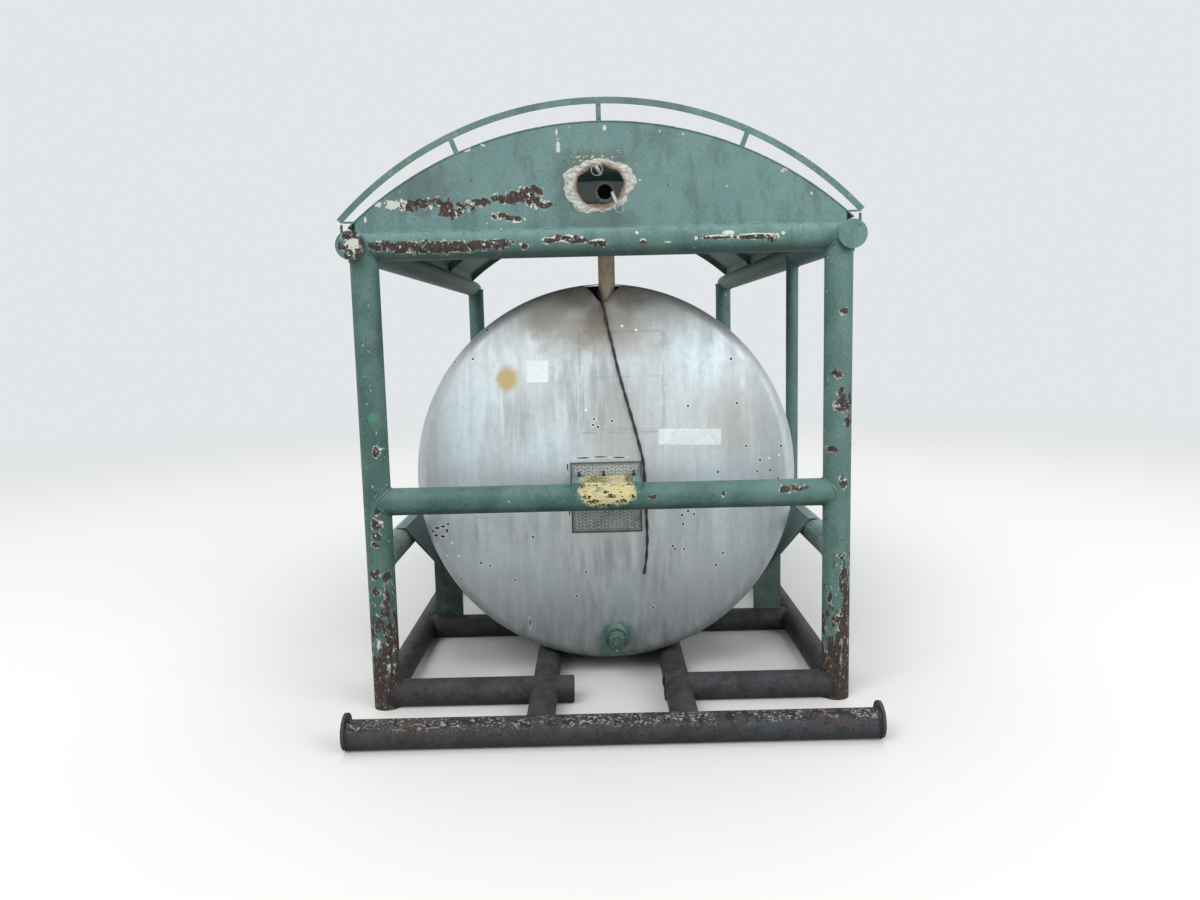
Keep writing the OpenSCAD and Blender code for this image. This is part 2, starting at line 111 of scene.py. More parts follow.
@dataclass(frozen=True)
class Mark:
    """A mark that shows in the photograph: its middle, half sizes and turn, in pixels and degrees."""

    px: float
    py: float
    half_w: float
    half_h: float
    turn: float = 0.0


@dataclass(frozen=True)
class Blob:
    """A mark brought onto the part: an ellipsoid with its middle, half sizes and turn about Y."""

    centre: Vec
    half: Vec
    turn: float


@dataclass(frozen=True)
class Round:
    """A surface at a fixed distance from a point, an axis or a plane.

    It is |across * (p - centre)| = radius, where across is 0 along the axis or in the plane and 1 elsewhere.
    """

    centre: Vec
    radius: float
    across: Vec


class Seat(Enum):
    """The surfaces that pixels are brought onto: the head's ball, the pipes in front, and planes across Y.

    MOUTH is the plane of the coupler's mouth, and LIP lies just in front of the arch plate.
    """

    HEAD = Round((0.0, 1.9498, 0.930), 3.5, (1, 1, 1))
    ARCH = Round((0.0, 0.0, 0.0), 1.723, (0, 1, 0))
    BEAM = Round((0.0, -1.720, 1.933), 0.05715, (0, 1, 1))
    BAR = Round((0.0, -1.720, 0.889), 0.05715, (0, 1, 1))
    LEFT_POST = Round((-0.960, -1.720, 0.0), 0.05715, (1, 1, 0))
    RIGHT_POST = Round((0.960, -1.720, 0.0), 0.05715, (1, 1, 0))
    LEFT_CAP = Round((0.0, 0.0, 0.0), 1.826, (0, 1, 0))
    MOUTH = Round((0.0, 0.0, 0.0), 1.520, (0, 1, 0))
    LIP = Round((0.0, 0.0, 0.0), 1.742, (0, 1, 0))


@dataclass(frozen=True)
class PhotoCamera:
    """The photograph's camera: where it stood, how it was held, and its lens."""

    place: Vec = (-0.025, -5.492, 1.570)
    pitch_down: float = 7.304
    roll: float = 1.36
    lens: float = 27.47
    sensor: float = 36.0
    far: float = 200.0
    width: int = 1200
    height: int = 900

    def build(self) -> bpy.types.Object:
        """Makes the camera and sets it as the scene's.

        Returns:
            The camera's object, turned by the pitch about X and then by the roll about its line of sight.
        """
        data = bpy.data.cameras.new("photo_camera")
        data.lens = self.lens
        data.sensor_width = self.sensor
        data.clip_end = self.far
        camera = bpy.data.objects.new("photo_camera", data)
        bpy.context.scene.collection.objects.link(camera)
        tilt, roll = math.radians(90 - self.pitch_down), math.radians(-self.roll)
        turn_x = np.array([[1, 0, 0],
                           [0, math.cos(tilt), -math.sin(tilt)],
                           [0, math.sin(tilt), math.cos(tilt)]])
        turn_z = np.array([[math.cos(roll), -math.sin(roll), 0],
                           [math.sin(roll), math.cos(roll), 0],
                           [0, 0, 1]])
        matrix = np.eye(4)
        matrix[:3, :3] = turn_x @ turn_z
        matrix[:3, 3] = self.place
        camera.matrix_world = Matrix(matrix.tolist())
        bpy.context.scene.camera = camera
        return camera

    def sight(self, px: float, py: float) -> np.ndarray:
        """Direction from the camera through a pixel of the photograph.

        The pixel's place from the picture's middle is turned back by the roll and divided by the focal length
        in pixels, and the line of sight is then turned down by the pitch.

        Args:
            px: Pixels from the left, out of 1200.
            py: Pixels from the top, out of 900.

        Returns:
            The direction in the frame's axes.
        """
        pitch, roll = math.radians(self.pitch_down), math.radians(self.roll)
        focal = self.lens / self.sensor * self.width
        dx, dy = px - self.width / 2, py - self.height / 2
        right = (dx * math.cos(roll) - dy * math.sin(roll)) / focal
        up = -(dx * math.sin(roll) + dy * math.cos(roll)) / focal
        ahead = math.cos(pitch) + up * math.sin(pitch)
        return np.array([right, ahead, up * math.cos(pitch) - math.sin(pitch)])

    def onto(self, seat: Seat, px: float, py: float) -> np.ndarray:
        """Point of a surface that a pixel shows.

        It is the nearer root t of |across * (eye + t * sight - centre)| = radius.

        Args:
            seat: The surface.
            px: Pixels from the left.
            py: Pixels from the top.

        Returns:
            The point, in metres.
        """
        face = seat.value
        keep = np.array(face.across, float)
        way = self.sight(px, py)
        start = np.array(self.place) - np.array(face.centre)
        square = (keep * way * way).sum()
        cross = (keep * way * start).sum()
        rest = (keep * start * start).sum() - face.radius ** 2
        root = (-cross - math.sqrt(max(0.0, cross * cross - square * rest))) / square
        return np.array(self.place) + root * way

    def blobs(self, seat: Seat, marks: Iterable[Mark], depth: float = 0.05) -> tuple[Blob, ...]:
        """Brings marks onto a surface, each at its size there.

        Args:
            seat: The surface that carries them.
            marks: The marks in pixels.
            depth: Half size along Y, so that a mark follows a curved surface.

        Returns:
            One ellipsoid a mark.
        """
        focal = self.lens / self.sensor * self.width
        found = []
        for mark in marks:
            point = self.onto(seat, mark.px, mark.py)
            scale = (point[1] - self.place[1]) / focal
            half = (mark.half_w * scale, depth, mark.half_h * scale)
            found.append(Blob(tuple(float(v) for v in point), half, math.radians(mark.turn)))
        return tuple(found)


PHOTO = PhotoCamera()


class Canvas:
    """A finish painted in layers, from the bare surface up, each laid over the last where its mask is 1.

    Masks and layers are written in the order in which the shader works them out, because a long list of
    marks otherwise holds more values at once than the renderer has room for.
    """

    NEXT = 3.7  # each noise is moved on by this much, in its own cells, so that no two are alike

    def __init__(self, name: str, colour: str, roughness: float, metallic: float = 0.0) -> None:
        """Starts a material with a plain first coat.

        Args:
            name: The material's name.
            colour: The first coat's sRGB hex colour.
            roughness: Its roughness.
            metallic: 1 for bare metal and 0 for anything else.
        """
        self.material = bpy.data.materials.new(name)
        self.material.use_nodes = True
        self.tree = self.material.node_tree
        self.tree.nodes.clear()
        self.place = add(self.tree, "ShaderNodeTexCoord").outputs["Object"]
        self.parts = add(self.tree, "ShaderNodeSeparateXYZ", {"Vector": self.place})
        self.turned: dict[float, Socket] = {}
        self.colour: Socket | tuple = linear(colour)
        self.roughness: Socket | float = roughness
        self.metallic: Socket | float = metallic
        self.height: Socket | float = 0.0
        self.seed = 0.0

    def patches(self, size: float, above: float, edge: float = 0.04, stretch: Vec = (1, 1, 1),
                detail: float = 5.0) -> Socket:
        """Mask of soft or crisp patches: noise through a smooth step round a threshold.

        Args:
            size: Size of the noise's cells in millimetres.
            above: Noise value, 0.5 on average, past which the mask is 1.
            edge: Half width of the step.
            stretch: How many times longer the cells are along each axis.
            detail: How many octaves of finer noise lie on it.

        Returns:
            The mask's socket.
        """
        return self.step(self.grain(size, stretch, detail), above - edge, above + edge)

    def grain(self, size: float, stretch: Vec = (1, 1, 1), detail: float = 5.0) -> Socket:
        """Noise of a real size.

        Args:
            size: Size of its cells in millimetres.
            stretch: How many times longer the cells are along each axis.
            detail: How many octaves of finer noise lie on it.

        Returns:
            The noise's socket, about 0.5 on average.
        """
        self.seed += self.NEXT
        scale = tuple(1 / (size * MM * s) for s in stretch)
        shift = (self.seed, -self.seed, 2 * self.seed)
        cells = add(self.tree, "ShaderNodeMapping", {"Vector": self.place, "Location": shift, "Scale": scale})
        return add(self.tree, "ShaderNodeTexNoise",
                   {"Vector": cells, "Scale": 1.0, "Detail": detail, "Roughness": 0.58}).outputs[0]

    def step(self, value: Socket | bpy.types.Node, low: float, high: float) -> Socket:
        """Smooth step of a value from 0 at low to 1 at high; high may be the lower of the two."""
        return add(self.tree, "ShaderNodeMapRange", {"Value": value, "From Min": low, "From Max": high},
                   interpolation_type="SMOOTHSTEP").outputs["Result"]

    def specks(self, spacing: float, size: float, share: float) -> Socket:
        """Mask of small round specks, one in some of the cells of a random honeycomb.

        Args:
            spacing: Distance between cells in millimetres.
            size: A speck's radius as a share of the spacing.
            share: Share of the cells that hold a speck.

        Returns:
            The mask's socket.
        """
        cells = add(self.tree, "ShaderNodeTexVoronoi", {"Vector": self.place, "Scale": 1 / (spacing * MM)})
        chance = add(self.tree, "ShaderNodeSeparateColor", {"Color": cells.outputs["Color"]})
        chosen = self.step(chance, 1 - share, 1 - share + 0.02)
        return self.both(self.step(cells.outputs["Distance"], size, size * 0.6), chosen)

    def both(self, first: Socket, second: Socket | float) -> Socket:
        """Product of two masks."""
        return add(self.tree, "ShaderNodeMath", {0: first, 1: second}, operation="MULTIPLY").outputs[0]

    def either(self, first: Socket, second: Socket) -> Socket:
        """The larger of two masks."""
        return add(self.tree, "ShaderNodeMath", {0: first, 1: second}, operation="MAXIMUM").outputs[0]

    def faint(self, mask: Socket, strength: float) -> Socket:
        """A mask times a strength."""
        return self.both(mask, strength)

    def rise(self, axis: str, low: float, high: float, ragged: float = 0.0, grain: float = 120.0) -> Socket:
        """Mask that goes from 0 at one place along an axis to 1 at another.

        Args:
            axis: X, Y or Z.
            low: Where the mask is 0, in metres.
            high: Where it is 1; it may be the lower of the two.
            ragged: How far noise moves the step, in metres.
            grain: Size of that noise's cells in millimetres.

        Returns:
            The mask's socket.
        """
        value = self.parts.outputs[axis]
        if ragged:
            value = self.shaken(value, ragged, grain)
        return self.step(value, low, high)

    def facing(self, axis: str, low: float, high: float) -> Socket:
        """Mask by how far the surface's own normal points along an axis.

        Args:
            axis: X, Y or Z.
            low: The normal's share along the axis where the mask is 0.
            high: The share where it is 1; it may be the lower of the two.

        Returns:
            The mask's socket.
        """
        normal = add(self.tree, "ShaderNodeNewGeometry").outputs["Normal"]
        parts = add(self.tree, "ShaderNodeSeparateXYZ", {"Vector": normal})
        return self.step(parts.outputs[axis], low, high)

    def shaken(self, value: Socket, amount: float, grain: float) -> Socket:
        """A value moved by noise.

        Args:
            value: What is moved.
            amount: How far the noise moves it at most, either way.
            grain: Size of the noise's cells in millimetres.

        Returns:
            The moved value's socket.
        """
        self.seed += self.NEXT
        spot = add(self.tree, "ShaderNodeMapping", {"Vector": self.place, "Location": (self.seed, 0, 0)})
        noise = add(self.tree, "ShaderNodeTexNoise", {
            "Vector": spot, "Scale": 1 / (grain * MM), "Detail": 6.0, "Roughness": 0.62})
        moved = add(self.tree, "ShaderNodeMath", {0: noise, 1: 2 * amount, 2: -amount},
                    operation="MULTIPLY_ADD")
        return add(self.tree, "ShaderNodeMath", {0: value, 1: moved}, operation="ADD").outputs[0]

    def nearness(self, blobs: Sequence[Blob], ragged: float = 0.5, grain: float = 22.0) -> Socket:
        """Smallest distance to any of a list of ellipsoids, in their own half sizes, shaken by noise.

        Args:
            blobs: The ellipsoids; the distance is 1 on their surfaces.
            ragged: How far noise moves the outlines, in half sizes.
            grain: Size of that noise's cells in millimetres.

        Returns:
            The distance's socket.
        """
        least: Socket | None = None
        for blob in blobs:
            length = add(self.tree, "ShaderNodeVectorMath", {0: self.inside(blob)}, operation="LENGTH")
            away = length.outputs["Value"]
            least = away if least is None else add(
                self.tree, "ShaderNodeMath", {0: least, 1: away}, operation="MINIMUM").outputs[0]
        return self.shaken(least, ragged, grain) if ragged else least

    def inside(self, blob: Blob) -> Socket:
        """Place in a mark's own half sizes, as p / half - centre / half in axes turned with the mark.

        Args:
            blob: The mark.

        Returns:
            The place's socket.
        """
        turn = blob.turn
        if turn not in self.turned:
            spun = self.place if not turn else add(
                self.tree, "ShaderNodeMapping", {"Vector": self.place, "Rotation": (0, turn, 0)})
            # A plain sum turns the point into a vector once, so that no mark needs a hidden conversion.
            self.turned[turn] = add(self.tree, "ShaderNodeVectorMath", {0: spun}, operation="ADD").outputs[0]
        x, y, z = blob.centre
        middle = (x * math.cos(turn) + z * math.sin(turn), y, z * math.cos(turn) - x * math.sin(turn))
        return add(self.tree, "ShaderNodeVectorMath", {
            0: self.turned[turn], 1: tuple(1 / h for h in blob.half),
            2: tuple(-m / h for m, h in zip(middle, blob.half))}, operation="MULTIPLY_ADD").outputs[0]

    def within(self, nearness: Socket, limit: float = 1.0, soft: float = 0.06) -> Socket:
        """Mask that is 1 where a distance is under a limit."""
        return self.step(nearness, limit + soft, limit - soft)

    def ghost(self, blob: Blob, width: float) -> Socket:
        """Broken outline of a rectangle: where the larger of |x| and |z|, in half sizes, is near 1.

        Args:
            blob: The rectangle's middle and half sizes.
            width: The line's half width as a share of the half size.

        Returns:
            The mask's socket.
        """
        size = add(self.tree, "ShaderNodeVectorMath", {0: self.inside(blob)}, operation="ABSOLUTE")
        parts = add(self.tree, "ShaderNodeSeparateXYZ", {"Vector": size})
        larger = self.either(parts.outputs["X"], parts.outputs["Z"])
        off = add(self.tree, "ShaderNodeMath", {0: larger, 1: 1.0, 2: width}, operation="COMPARE").outputs[0]
        return self.both(off, self.patches(45, 0.47, 0.1))

    def layer(self, mask: Socket, colour: str | None = None, roughness: float | None = None,
              metallic: float | None = None, height: float = 0.0) -> None:
        """Lays a coat over what is there.

        Args:
            mask: Where the coat lies.
            colour: Its sRGB hex colour, or None to keep what is under it.
            roughness: Its roughness, or None.
            metallic: 1 for metal and 0 for paint, rust or dirt, or None.
            height: How far it stands proud, in millimetres; less than 0 is a pit.
        """
        if colour is not None:
            tones = {0: mask, 6: self.colour, 7: linear(colour)}
            self.colour = add(self.tree, "ShaderNodeMix", tones, data_type="RGBA").outputs[2]
        if roughness is not None:
            gloss = {0: mask, 2: self.roughness, 3: roughness}
            self.roughness = add(self.tree, "ShaderNodeMix", gloss).outputs[0]
        if metallic is not None:
            metal = {0: mask, 2: self.metallic, 3: metallic}
            self.metallic = add(self.tree, "ShaderNodeMix", metal).outputs[0]
        if height:
            self.height = add(self.tree, "ShaderNodeMath", {0: mask, 1: height, 2: self.height},
                              operation="MULTIPLY_ADD").outputs[0]

    def mottle(self, strength: float, size: float, above: float, edge: float, colour: str | None = None,
               roughness: float | None = None, metallic: float | None = None, *, stretch: Vec = (1, 1, 1),
               detail: float = 5.0, height: float = 0.0) -> None:
        """Lays faint patches over what is there.

        Args:
            strength: How much of the coat shows where the patches are full.
            size: Size of the patches' noise in millimetres.
            above: Noise value past which they lie.
            edge: Half width of their edge, in the noise's values.
            colour: Their sRGB hex colour, or None.
            roughness: Their roughness, or None.
            metallic: 1 for metal and 0 for anything else, or None.
            stretch: How many times longer the noise's cells are along each axis.
            detail: How many octaves of finer noise lie on it.
            height: How far they stand proud, in millimetres.
        """
        mask = self.faint(self.patches(size, above, edge, stretch, detail), strength)
        self.layer(mask, colour, roughness, metallic, height)

    def near_marks(self, blobs: Sequence[Blob], strength: float, ragged: float, grain: float, limit: float,
                   soft: float, colour: str, roughness: float | None = None,
                   metallic: float | None = None) -> None:
        """Lays a faint coat over marks, if there are any.

        Args:
            blobs: The marks.
            strength: How much of the coat shows in their middles.
            ragged: How far noise moves their outlines, in half sizes.
            grain: Size of that noise's cells in millimetres.
            limit: Distance, in half sizes, at which the coat has half faded.
            soft: Half width of its fading edge.
            colour: Its sRGB hex colour.
            roughness: Its roughness, or None.
            metallic: 1 for metal and 0 for anything else, or None.
        """
        if blobs:
            near = self.within(self.nearness(blobs, ragged, grain), limit, soft)
            self.layer(self.faint(near, strength), colour, roughness, metallic)

    def dry(self, specular: float = 0.5, gone: Socket | None = None) -> Paint:
        """Ends the material.

        Args:
            specular: The shader's specular level; 0.5 is ordinary paint.
            gone: Where the surface is see-through, if anywhere.

        Returns:
            The material, with its layers on a Principled shader.
        """
        inputs = {"Base Color": self.colour, "Roughness": self.roughness, "Metallic": self.metallic,
                  "Specular IOR Level": specular}
        if isinstance(self.height, Socket):
            inputs["Normal"] = add(self.tree, "ShaderNodeBump", {"Height": self.height, "Distance": MM})
        shader = add(self.tree, "ShaderNodeBsdfPrincipled", inputs)
        if gone:
            clear = add(self.tree, "ShaderNodeBsdfTransparent")
            shader = add(self.tree, "ShaderNodeMixShader", {0: gone, 1: shader, 2: clear})
        add(self.tree, "ShaderNodeOutputMaterial", {"Surface": shader})
        return self.material


@dataclass(frozen=True)
class FadedEnamel:
    """Brushed alkyd enamel on steel pipe: satin at first, then chalked by the sun and flaked by rust.

    The eye sees a deep blue-green that has gone pale higher up, white primer round each flake and dull brown
    rust inside it. Its top-facing sides carry a painted highlight, its undersides painted shade, and it grows
    paler towards +X with painted light. The marks are where the photograph shows them; wear adds chips all
    over.
    """

    name: str = "faded_enamel"
    deep: str = "#34534c"
    chalky: str = "#53756f"
    rust: tuple[Blob, ...] = ()
    white: tuple[Blob, ...] = ()
    yellow: tuple[Blob, ...] = ()
    lichen: tuple[Blob, ...] = ()
    bright: tuple[Blob, ...] = ()
    soot: tuple[Blob, ...] = ()
    bare: tuple[Blob, ...] = ()
    rusts_from_ground: bool = False
    rained_on: bool = False
    # How strongly the top-facing sides carry a painted highlight.
    top_highlight: float = 0.5
    wear: float = 0.0

    def mix(self) -> Paint:
        """Builds the material: two greens, mottling, chips, then the marks of this piece.

        Returns:
            The material.
        """
        coat = Canvas(self.name, self.deep, 0.5)
        coat.layer(coat.faint(coat.rise("Z", -0.1, 2.1, 0.25, 400), 0.85), self.chalky, 0.62)
        # Painted light: paler towards +X, the better lit side.
        coat.layer(coat.faint(coat.rise("X", -0.2, 1.3, 0.3, 500), 0.4), "#72938e", 0.62)
        # Painted highlight: top-facing sides paler, for the light from above.
        coat.layer(coat.faint(coat.facing("Z", 0.2, 0.95), self.top_highlight), "#86a3a0", 0.66)
        # Painted shade: downward-facing sides darker.
        coat.layer(coat.faint(coat.facing("Z", -0.1, -0.8), 0.6), "#33443f", 0.6)
        coat.mottle(0.25, 150, 0.52, 0.12, "#7d9b96", 0.7)
        coat.mottle(0.35, 60, 0.56, 0.1, "#2f4c45", 0.45, stretch=(1, 1, 2.5))
        coat.mottle(0.22, 13, 0.57, 0.1, "#304a43", height=-0.05)
        coat.mottle(0.18, 7, 0.58, 0.08, "#86a39c", height=0.06)
        if self.rained_on:
            self.weather(coat)
        coat.near_marks(self.bright, 0.5, 0.9, 40, 1.0, 0.5, "#3f9a78")
        coat.near_marks(self.soot, 0.5, 0.9, 40, 1.0, 0.5, "#4c5654")
        chips = coat.specks(34, 0.12, 0.16 + self.wear)
        coat.layer(chips, "#2c2a2a", 0.85, height=-0.2)
        coat.layer(coat.specks(57, 0.07, 0.2), "#c9cfc8", 0.7)
        if self.yellow:
            self.paint_yellow(coat)
        self.flake(coat)
        if self.lichen:
            near = coat.within(coat.nearness(self.lichen, 0.8, 30), 1.0, 0.15)
            coat.layer(coat.both(near, coat.patches(13, 0.6, 0.02)), "#c2c492", 0.95, height=0.4)
        return coat.dry(0.4)

    @staticmethod
    def weather(coat: Canvas) -> None:
        """Lays what rain leaves on a roof: a dusty underside, and on top dirt, streaks, rust spots and moss.

        Args:
            coat: The canvas that is painted on.
        """
        coat.layer(coat.faint(coat.facing("Z", -0.1, -0.8), 0.7), "#74827f", 0.7)
        top = coat.facing("Z", 0.35, 0.85)
        coat.layer(coat.faint(coat.both(top, coat.patches(330, 0.47, 0.12)), 0.75), "#5d6a62", 0.85)
        streaks = coat.both(top, coat.patches(45, 0.55, 0.08, (5, 1, 5)))
        coat.layer(coat.faint(streaks, 0.45), "#4a4a3f", 0.9)
        coat.layer(coat.faint(coat.both(top, coat.patches(26, 0.6, 0.03)), 0.7), "#6b5247", 0.92, height=-0.1)
        moss = coat.both(coat.specks(38, 0.3, 0.25), coat.patches(260, 0.53, 0.05))
        coat.layer(moss, "#8d9479", 0.95, height=0.2)

    def paint_yellow(self, coat: Canvas) -> None:
        """Lays old yellow safety paint, thin at its edges, brushed along X and pitted through to the green.

        Args:
            coat: The canvas that is painted on.
        """
        near = coat.nearness(self.yellow, 0.6, 20)
        coat.layer(coat.faint(coat.within(near, 1.14, 0.08), 0.6), "#93a58f", 0.6)
        body = coat.both(coat.within(near, 1.0, 0.06), coat.patches(15, 0.37, 0.02, (2.2, 1, 1)))
        coat.layer(body, "#c9bd90", 0.5, height=0.15)
        coat.layer(coat.both(body, coat.faint(coat.patches(40, 0.5, 0.1), 0.7)), "#d8c884")
        coat.layer(coat.both(body, coat.patches(14, 0.63, 0.015, (1.8, 1, 1))), "#2b3a33", 0.8, height=-0.2)
        coat.layer(coat.both(body, coat.faint(coat.patches(24, 0.6, 0.05, (2, 1, 1)), 0.6)), "#a9a583")
        streaks = coat.faint(coat.patches(7, 0.63, 0.03, (7, 1, 1)), 0.6)
        coat.layer(coat.both(body, streaks), "#566058", height=-0.1)
        if self.bare:
            near = coat.within(coat.nearness(self.bare, 1.6, 9), 1.0, 0.06)
            coat.layer(coat.both(near, coat.patches(9, 0.46, 0.02)), "#26332e", 0.8, height=-0.2)

    def flake(self, coat: Canvas) -> None:
        """Lays white primer and rust where the paint is off: at the marks, at random and near the ground.

        Args:
            coat: The canvas that is painted on.
        """
        white = coat.patches(13, 0.72 - self.wear, 0.01)
        rust = coat.patches(18, 0.715 - self.wear, 0.01)
        if self.white:
            white = coat.either(white, coat.within(coat.nearness(self.white, 1.3, 12), 0.95, 0.06))
        if self.rust:
            near = coat.nearness(self.rust, 1.7, 24)
            edge = coat.both(coat.within(near, 1.2, 0.04), coat.patches(26, 0.53, 0.02))
            white = coat.either(white, edge)
            rust = coat.either(rust, coat.both(coat.within(near, 1.0, 0.04), coat.patches(22, 0.40, 0.02)))
        if self.rusts_from_ground:
            side = coat.both(coat.rise("X", 0.93, 0.99), coat.rise("Z", 0.80, 0.45))
            reach = coat.either(coat.rise("Z", 0.90, -0.45), coat.faint(side, 0.5))
            grain = coat.grain(22, (1, 1, 3.2))
            eaten = add(coat.tree, "ShaderNodeMath", {0: reach, 1: 0.5, 2: grain},
                        operation="MULTIPLY_ADD").outputs[0]
            rust = coat.either(rust, coat.step(eaten, 0.69, 0.71))
            white = coat.either(white, coat.both(coat.step(eaten, 0.66, 0.68), coat.patches(18, 0.55, 0.02)))
        coat.layer(white, "#c6cbc2", 0.75, height=-0.1)
        coat.layer(rust, "#483c38", 0.92, height=-0.25)
        coat.layer(coat.both(rust, coat.patches(14, 0.53, 0.06)), "#332b29")
        coat.layer(coat.both(rust, coat.patches(12, 0.64, 0.02, (1, 1, 1.6))), "#a9a69d", 0.8, height=0.2)
        coat.layer(coat.both(rust, coat.faint(coat.patches(26, 0.6, 0.05), 0.5)), "#5a443b")


@dataclass(frozen=True)
class SkidSteel:
    """Old drill pipe: mill scale and thin black paint over pitted rust, rubbed bare where it is walked on.

    The eye sees a dark grey-brown with blue-black islands and, on top, black and whitish scratches.
    """

    name: str = "skid_steel"
    walked_on: bool = False

    def mix(self) -> Paint:
        """Builds the material: rust, scale islands, pits and scratches.

        Returns:
            The material.
        """
        coat = Canvas(self.name, "#413a37", 0.85)
        coat.layer(coat.patches(70, 0.5, 0.08), "#2c2a2a", 0.75)
        coat.mottle(0.55, 120, 0.5, 0.12, "#3b444a", 0.6)
        coat.mottle(0.8, 28, 0.56, 0.06, "#222a33", 0.5, height=0.12)
        coat.mottle(0.55, 45, 0.6, 0.05, "#54403a", 0.9)
        coat.layer(coat.patches(7, 0.62, 0.03), "#211f21", 0.9, height=-0.2)
        coat.mottle(0.6, 9, 0.67, 0.02, "#6c6a68", 0.8)
        if self.walked_on:
            top = coat.rise("Z", 0.075, 0.108)
            coat.layer(coat.both(top, coat.patches(24, 0.53, 0.03, (1.6, 1, 1))), "#1f1d1e", 0.8)
            worn = coat.both(top, coat.patches(90, 0.47, 0.06))
            coat.layer(coat.both(worn, coat.patches(8, 0.57, 0.03, (1.6, 1, 1))), "#948f89", 0.8, height=-0.1)
        return coat.dry(0.35)


@dataclass(frozen=True)
class JacketAluminium:
    """Bare aluminium sheet, spun into the head and rolled into the jacket, dulled by years outdoors.

    The eye sees a pale blue-grey with a soft broad sheen, thin vertical runs of dirt, brown soot under the
    vent and small dark pits. Its pale blue-white patches are painted reflections of the sky, and it grows
    darker towards the bottom, partly grime and partly painted shade and painted reflection of the dark
    ground.
    """

    name: str = "jacket_aluminium"
    shade: str = "#ced5d8"
    speckled: float = 0.3
    soot: tuple[Blob, ...] = ()
    tan: tuple[Blob, ...] = ()
    pale: tuple[Blob, ...] = ()
    warm: tuple[Blob, ...] = ()
    yellow: tuple[Blob, ...] = ()
    pits: tuple[Blob, ...] = ()
    white: tuple[Blob, ...] = ()
    runs: tuple[Blob, ...] = ()
    ghosts: tuple[Blob, ...] = ()
    green: tuple[Blob, ...] = ()

    def mix(self) -> Paint:
        """Builds the material: metal, dulling, runs, then the marks of this piece.

        Returns:
            The material.
        """
        coat = Canvas(self.name, self.shade, 0.42, 0.75)
        coat.mottle(0.45, 420, 0.5, 0.15, "#d3dde2", 0.5)
        # Painted reflection: pale blue-white patches of sky mirrored on the head.
        coat.near_marks(self.pale, 0.85, 0.3, 160, 0.75, 0.5, "#d2e0e8")
        coat.near_marks(self.warm, 0.75, 0.3, 160, 0.75, 0.5, "#b4b3ae")
        # Darker towards the bottom: partly grime, partly painted shade under the tank and painted reflection
        # of the dark ground.
        low = coat.rise("Z", 0.98, 0.12, 0.12, 260)
        coat.layer(coat.faint(low, 0.75), "#7c8486", 0.6, 0.5)
        coat.layer(coat.faint(coat.rise("Z", 0.40, 0.06, 0.05, 120), 0.8), "#2c3739", 0.8, 0.1)
        coat.mottle(0.4, 60, 0.52, 0.25, "#a3a9aa", 0.6, 0.4, stretch=(1, 1, 9), detail=2)
        coat.mottle(0.2, 24, 0.56, 0.22, "#8d9291", 0.6, 0.4, stretch=(1, 1, 20), detail=2)
        coat.mottle(0.16, 30, 0.58, 0.2, "#e2e9ec", 0.4, stretch=(1, 1, 12), detail=2)
        coat.mottle(0.2, 34, 0.56, 0.14, "#9aa1a1", 0.6)
        coat.mottle(0.16, 6, 0.6, 0.08, "#7d8281", height=-0.03)
        top = coat.rise("Z", 1.42, 1.80, 0.1, 160)
        coat.layer(coat.faint(top, 0.62), "#7e7a70", 0.7, 0.3)
        self.stain(coat)
        coat.layer(coat.specks(70, 0.035, self.speckled), "#5a5f5e", 0.8, 0.1)
        self.pit(coat)
        return coat.dry()

    def stain(self, coat: Canvas) -> None:
        """Lays soot, runs of dirt, the outlines of plates that are gone, and two old colours of paint.

        Args:
            coat: The canvas that is painted on.
        """
        coat.near_marks(self.soot, 0.7, 0.7, 110, 0.75, 0.55, "#5f5347", 0.8, 0.1)
        coat.near_marks(self.tan, 0.55, 0.7, 110, 0.75, 0.55, "#8c7f6b", 0.8, 0.1)
        if self.runs:
            near = coat.within(coat.nearness(self.runs, 0.35, 60), 0.8, 0.4)
            drips = coat.patches(26, 0.52, 0.2, (1, 1, 20), 2)
            coat.layer(coat.faint(coat.both(near, drips), 0.4), "#6a6f6d", 0.7, 0.2)
        for blob in self.ghosts:
            coat.layer(coat.faint(coat.ghost(blob, 0.022), 0.28), "#6f7270", 0.7, 0.2)
        if self.yellow:
            near = coat.nearness(self.yellow, 0.25, 30)
            coat.layer(coat.faint(coat.within(near, 1.05, 0.35), 0.45), "#b3aa84", 0.6, 0.0)
            coat.layer(coat.faint(coat.within(near, 0.8, 0.25), 0.85), "#bda869", 0.6, 0.0)
        coat.near_marks(self.green, 0.85, 0.5, 30, 0.95, 0.25, "#4d6f66", 0.6, 0.0)

    def pit(self, coat: Canvas) -> None:
        """Lays dark pits, each in a small bright ring, and drops of white.

        Args:
            coat: The canvas that is painted on.
        """
        if self.pits:
            near = coat.nearness(self.pits, 0.7, 7)
            coat.layer(coat.faint(coat.within(near, 1.7, 0.3), 0.5), "#dfe5e6", 0.5)
            coat.layer(coat.within(near, 0.9, 0.15), "#25292a", 0.8, 0.0, -0.5)
        if self.white:
            coat.layer(coat.within(coat.nearness(self.white, 0.6, 7), 0.9, 0.2), "#eef2f2", 0.6, 0.0)


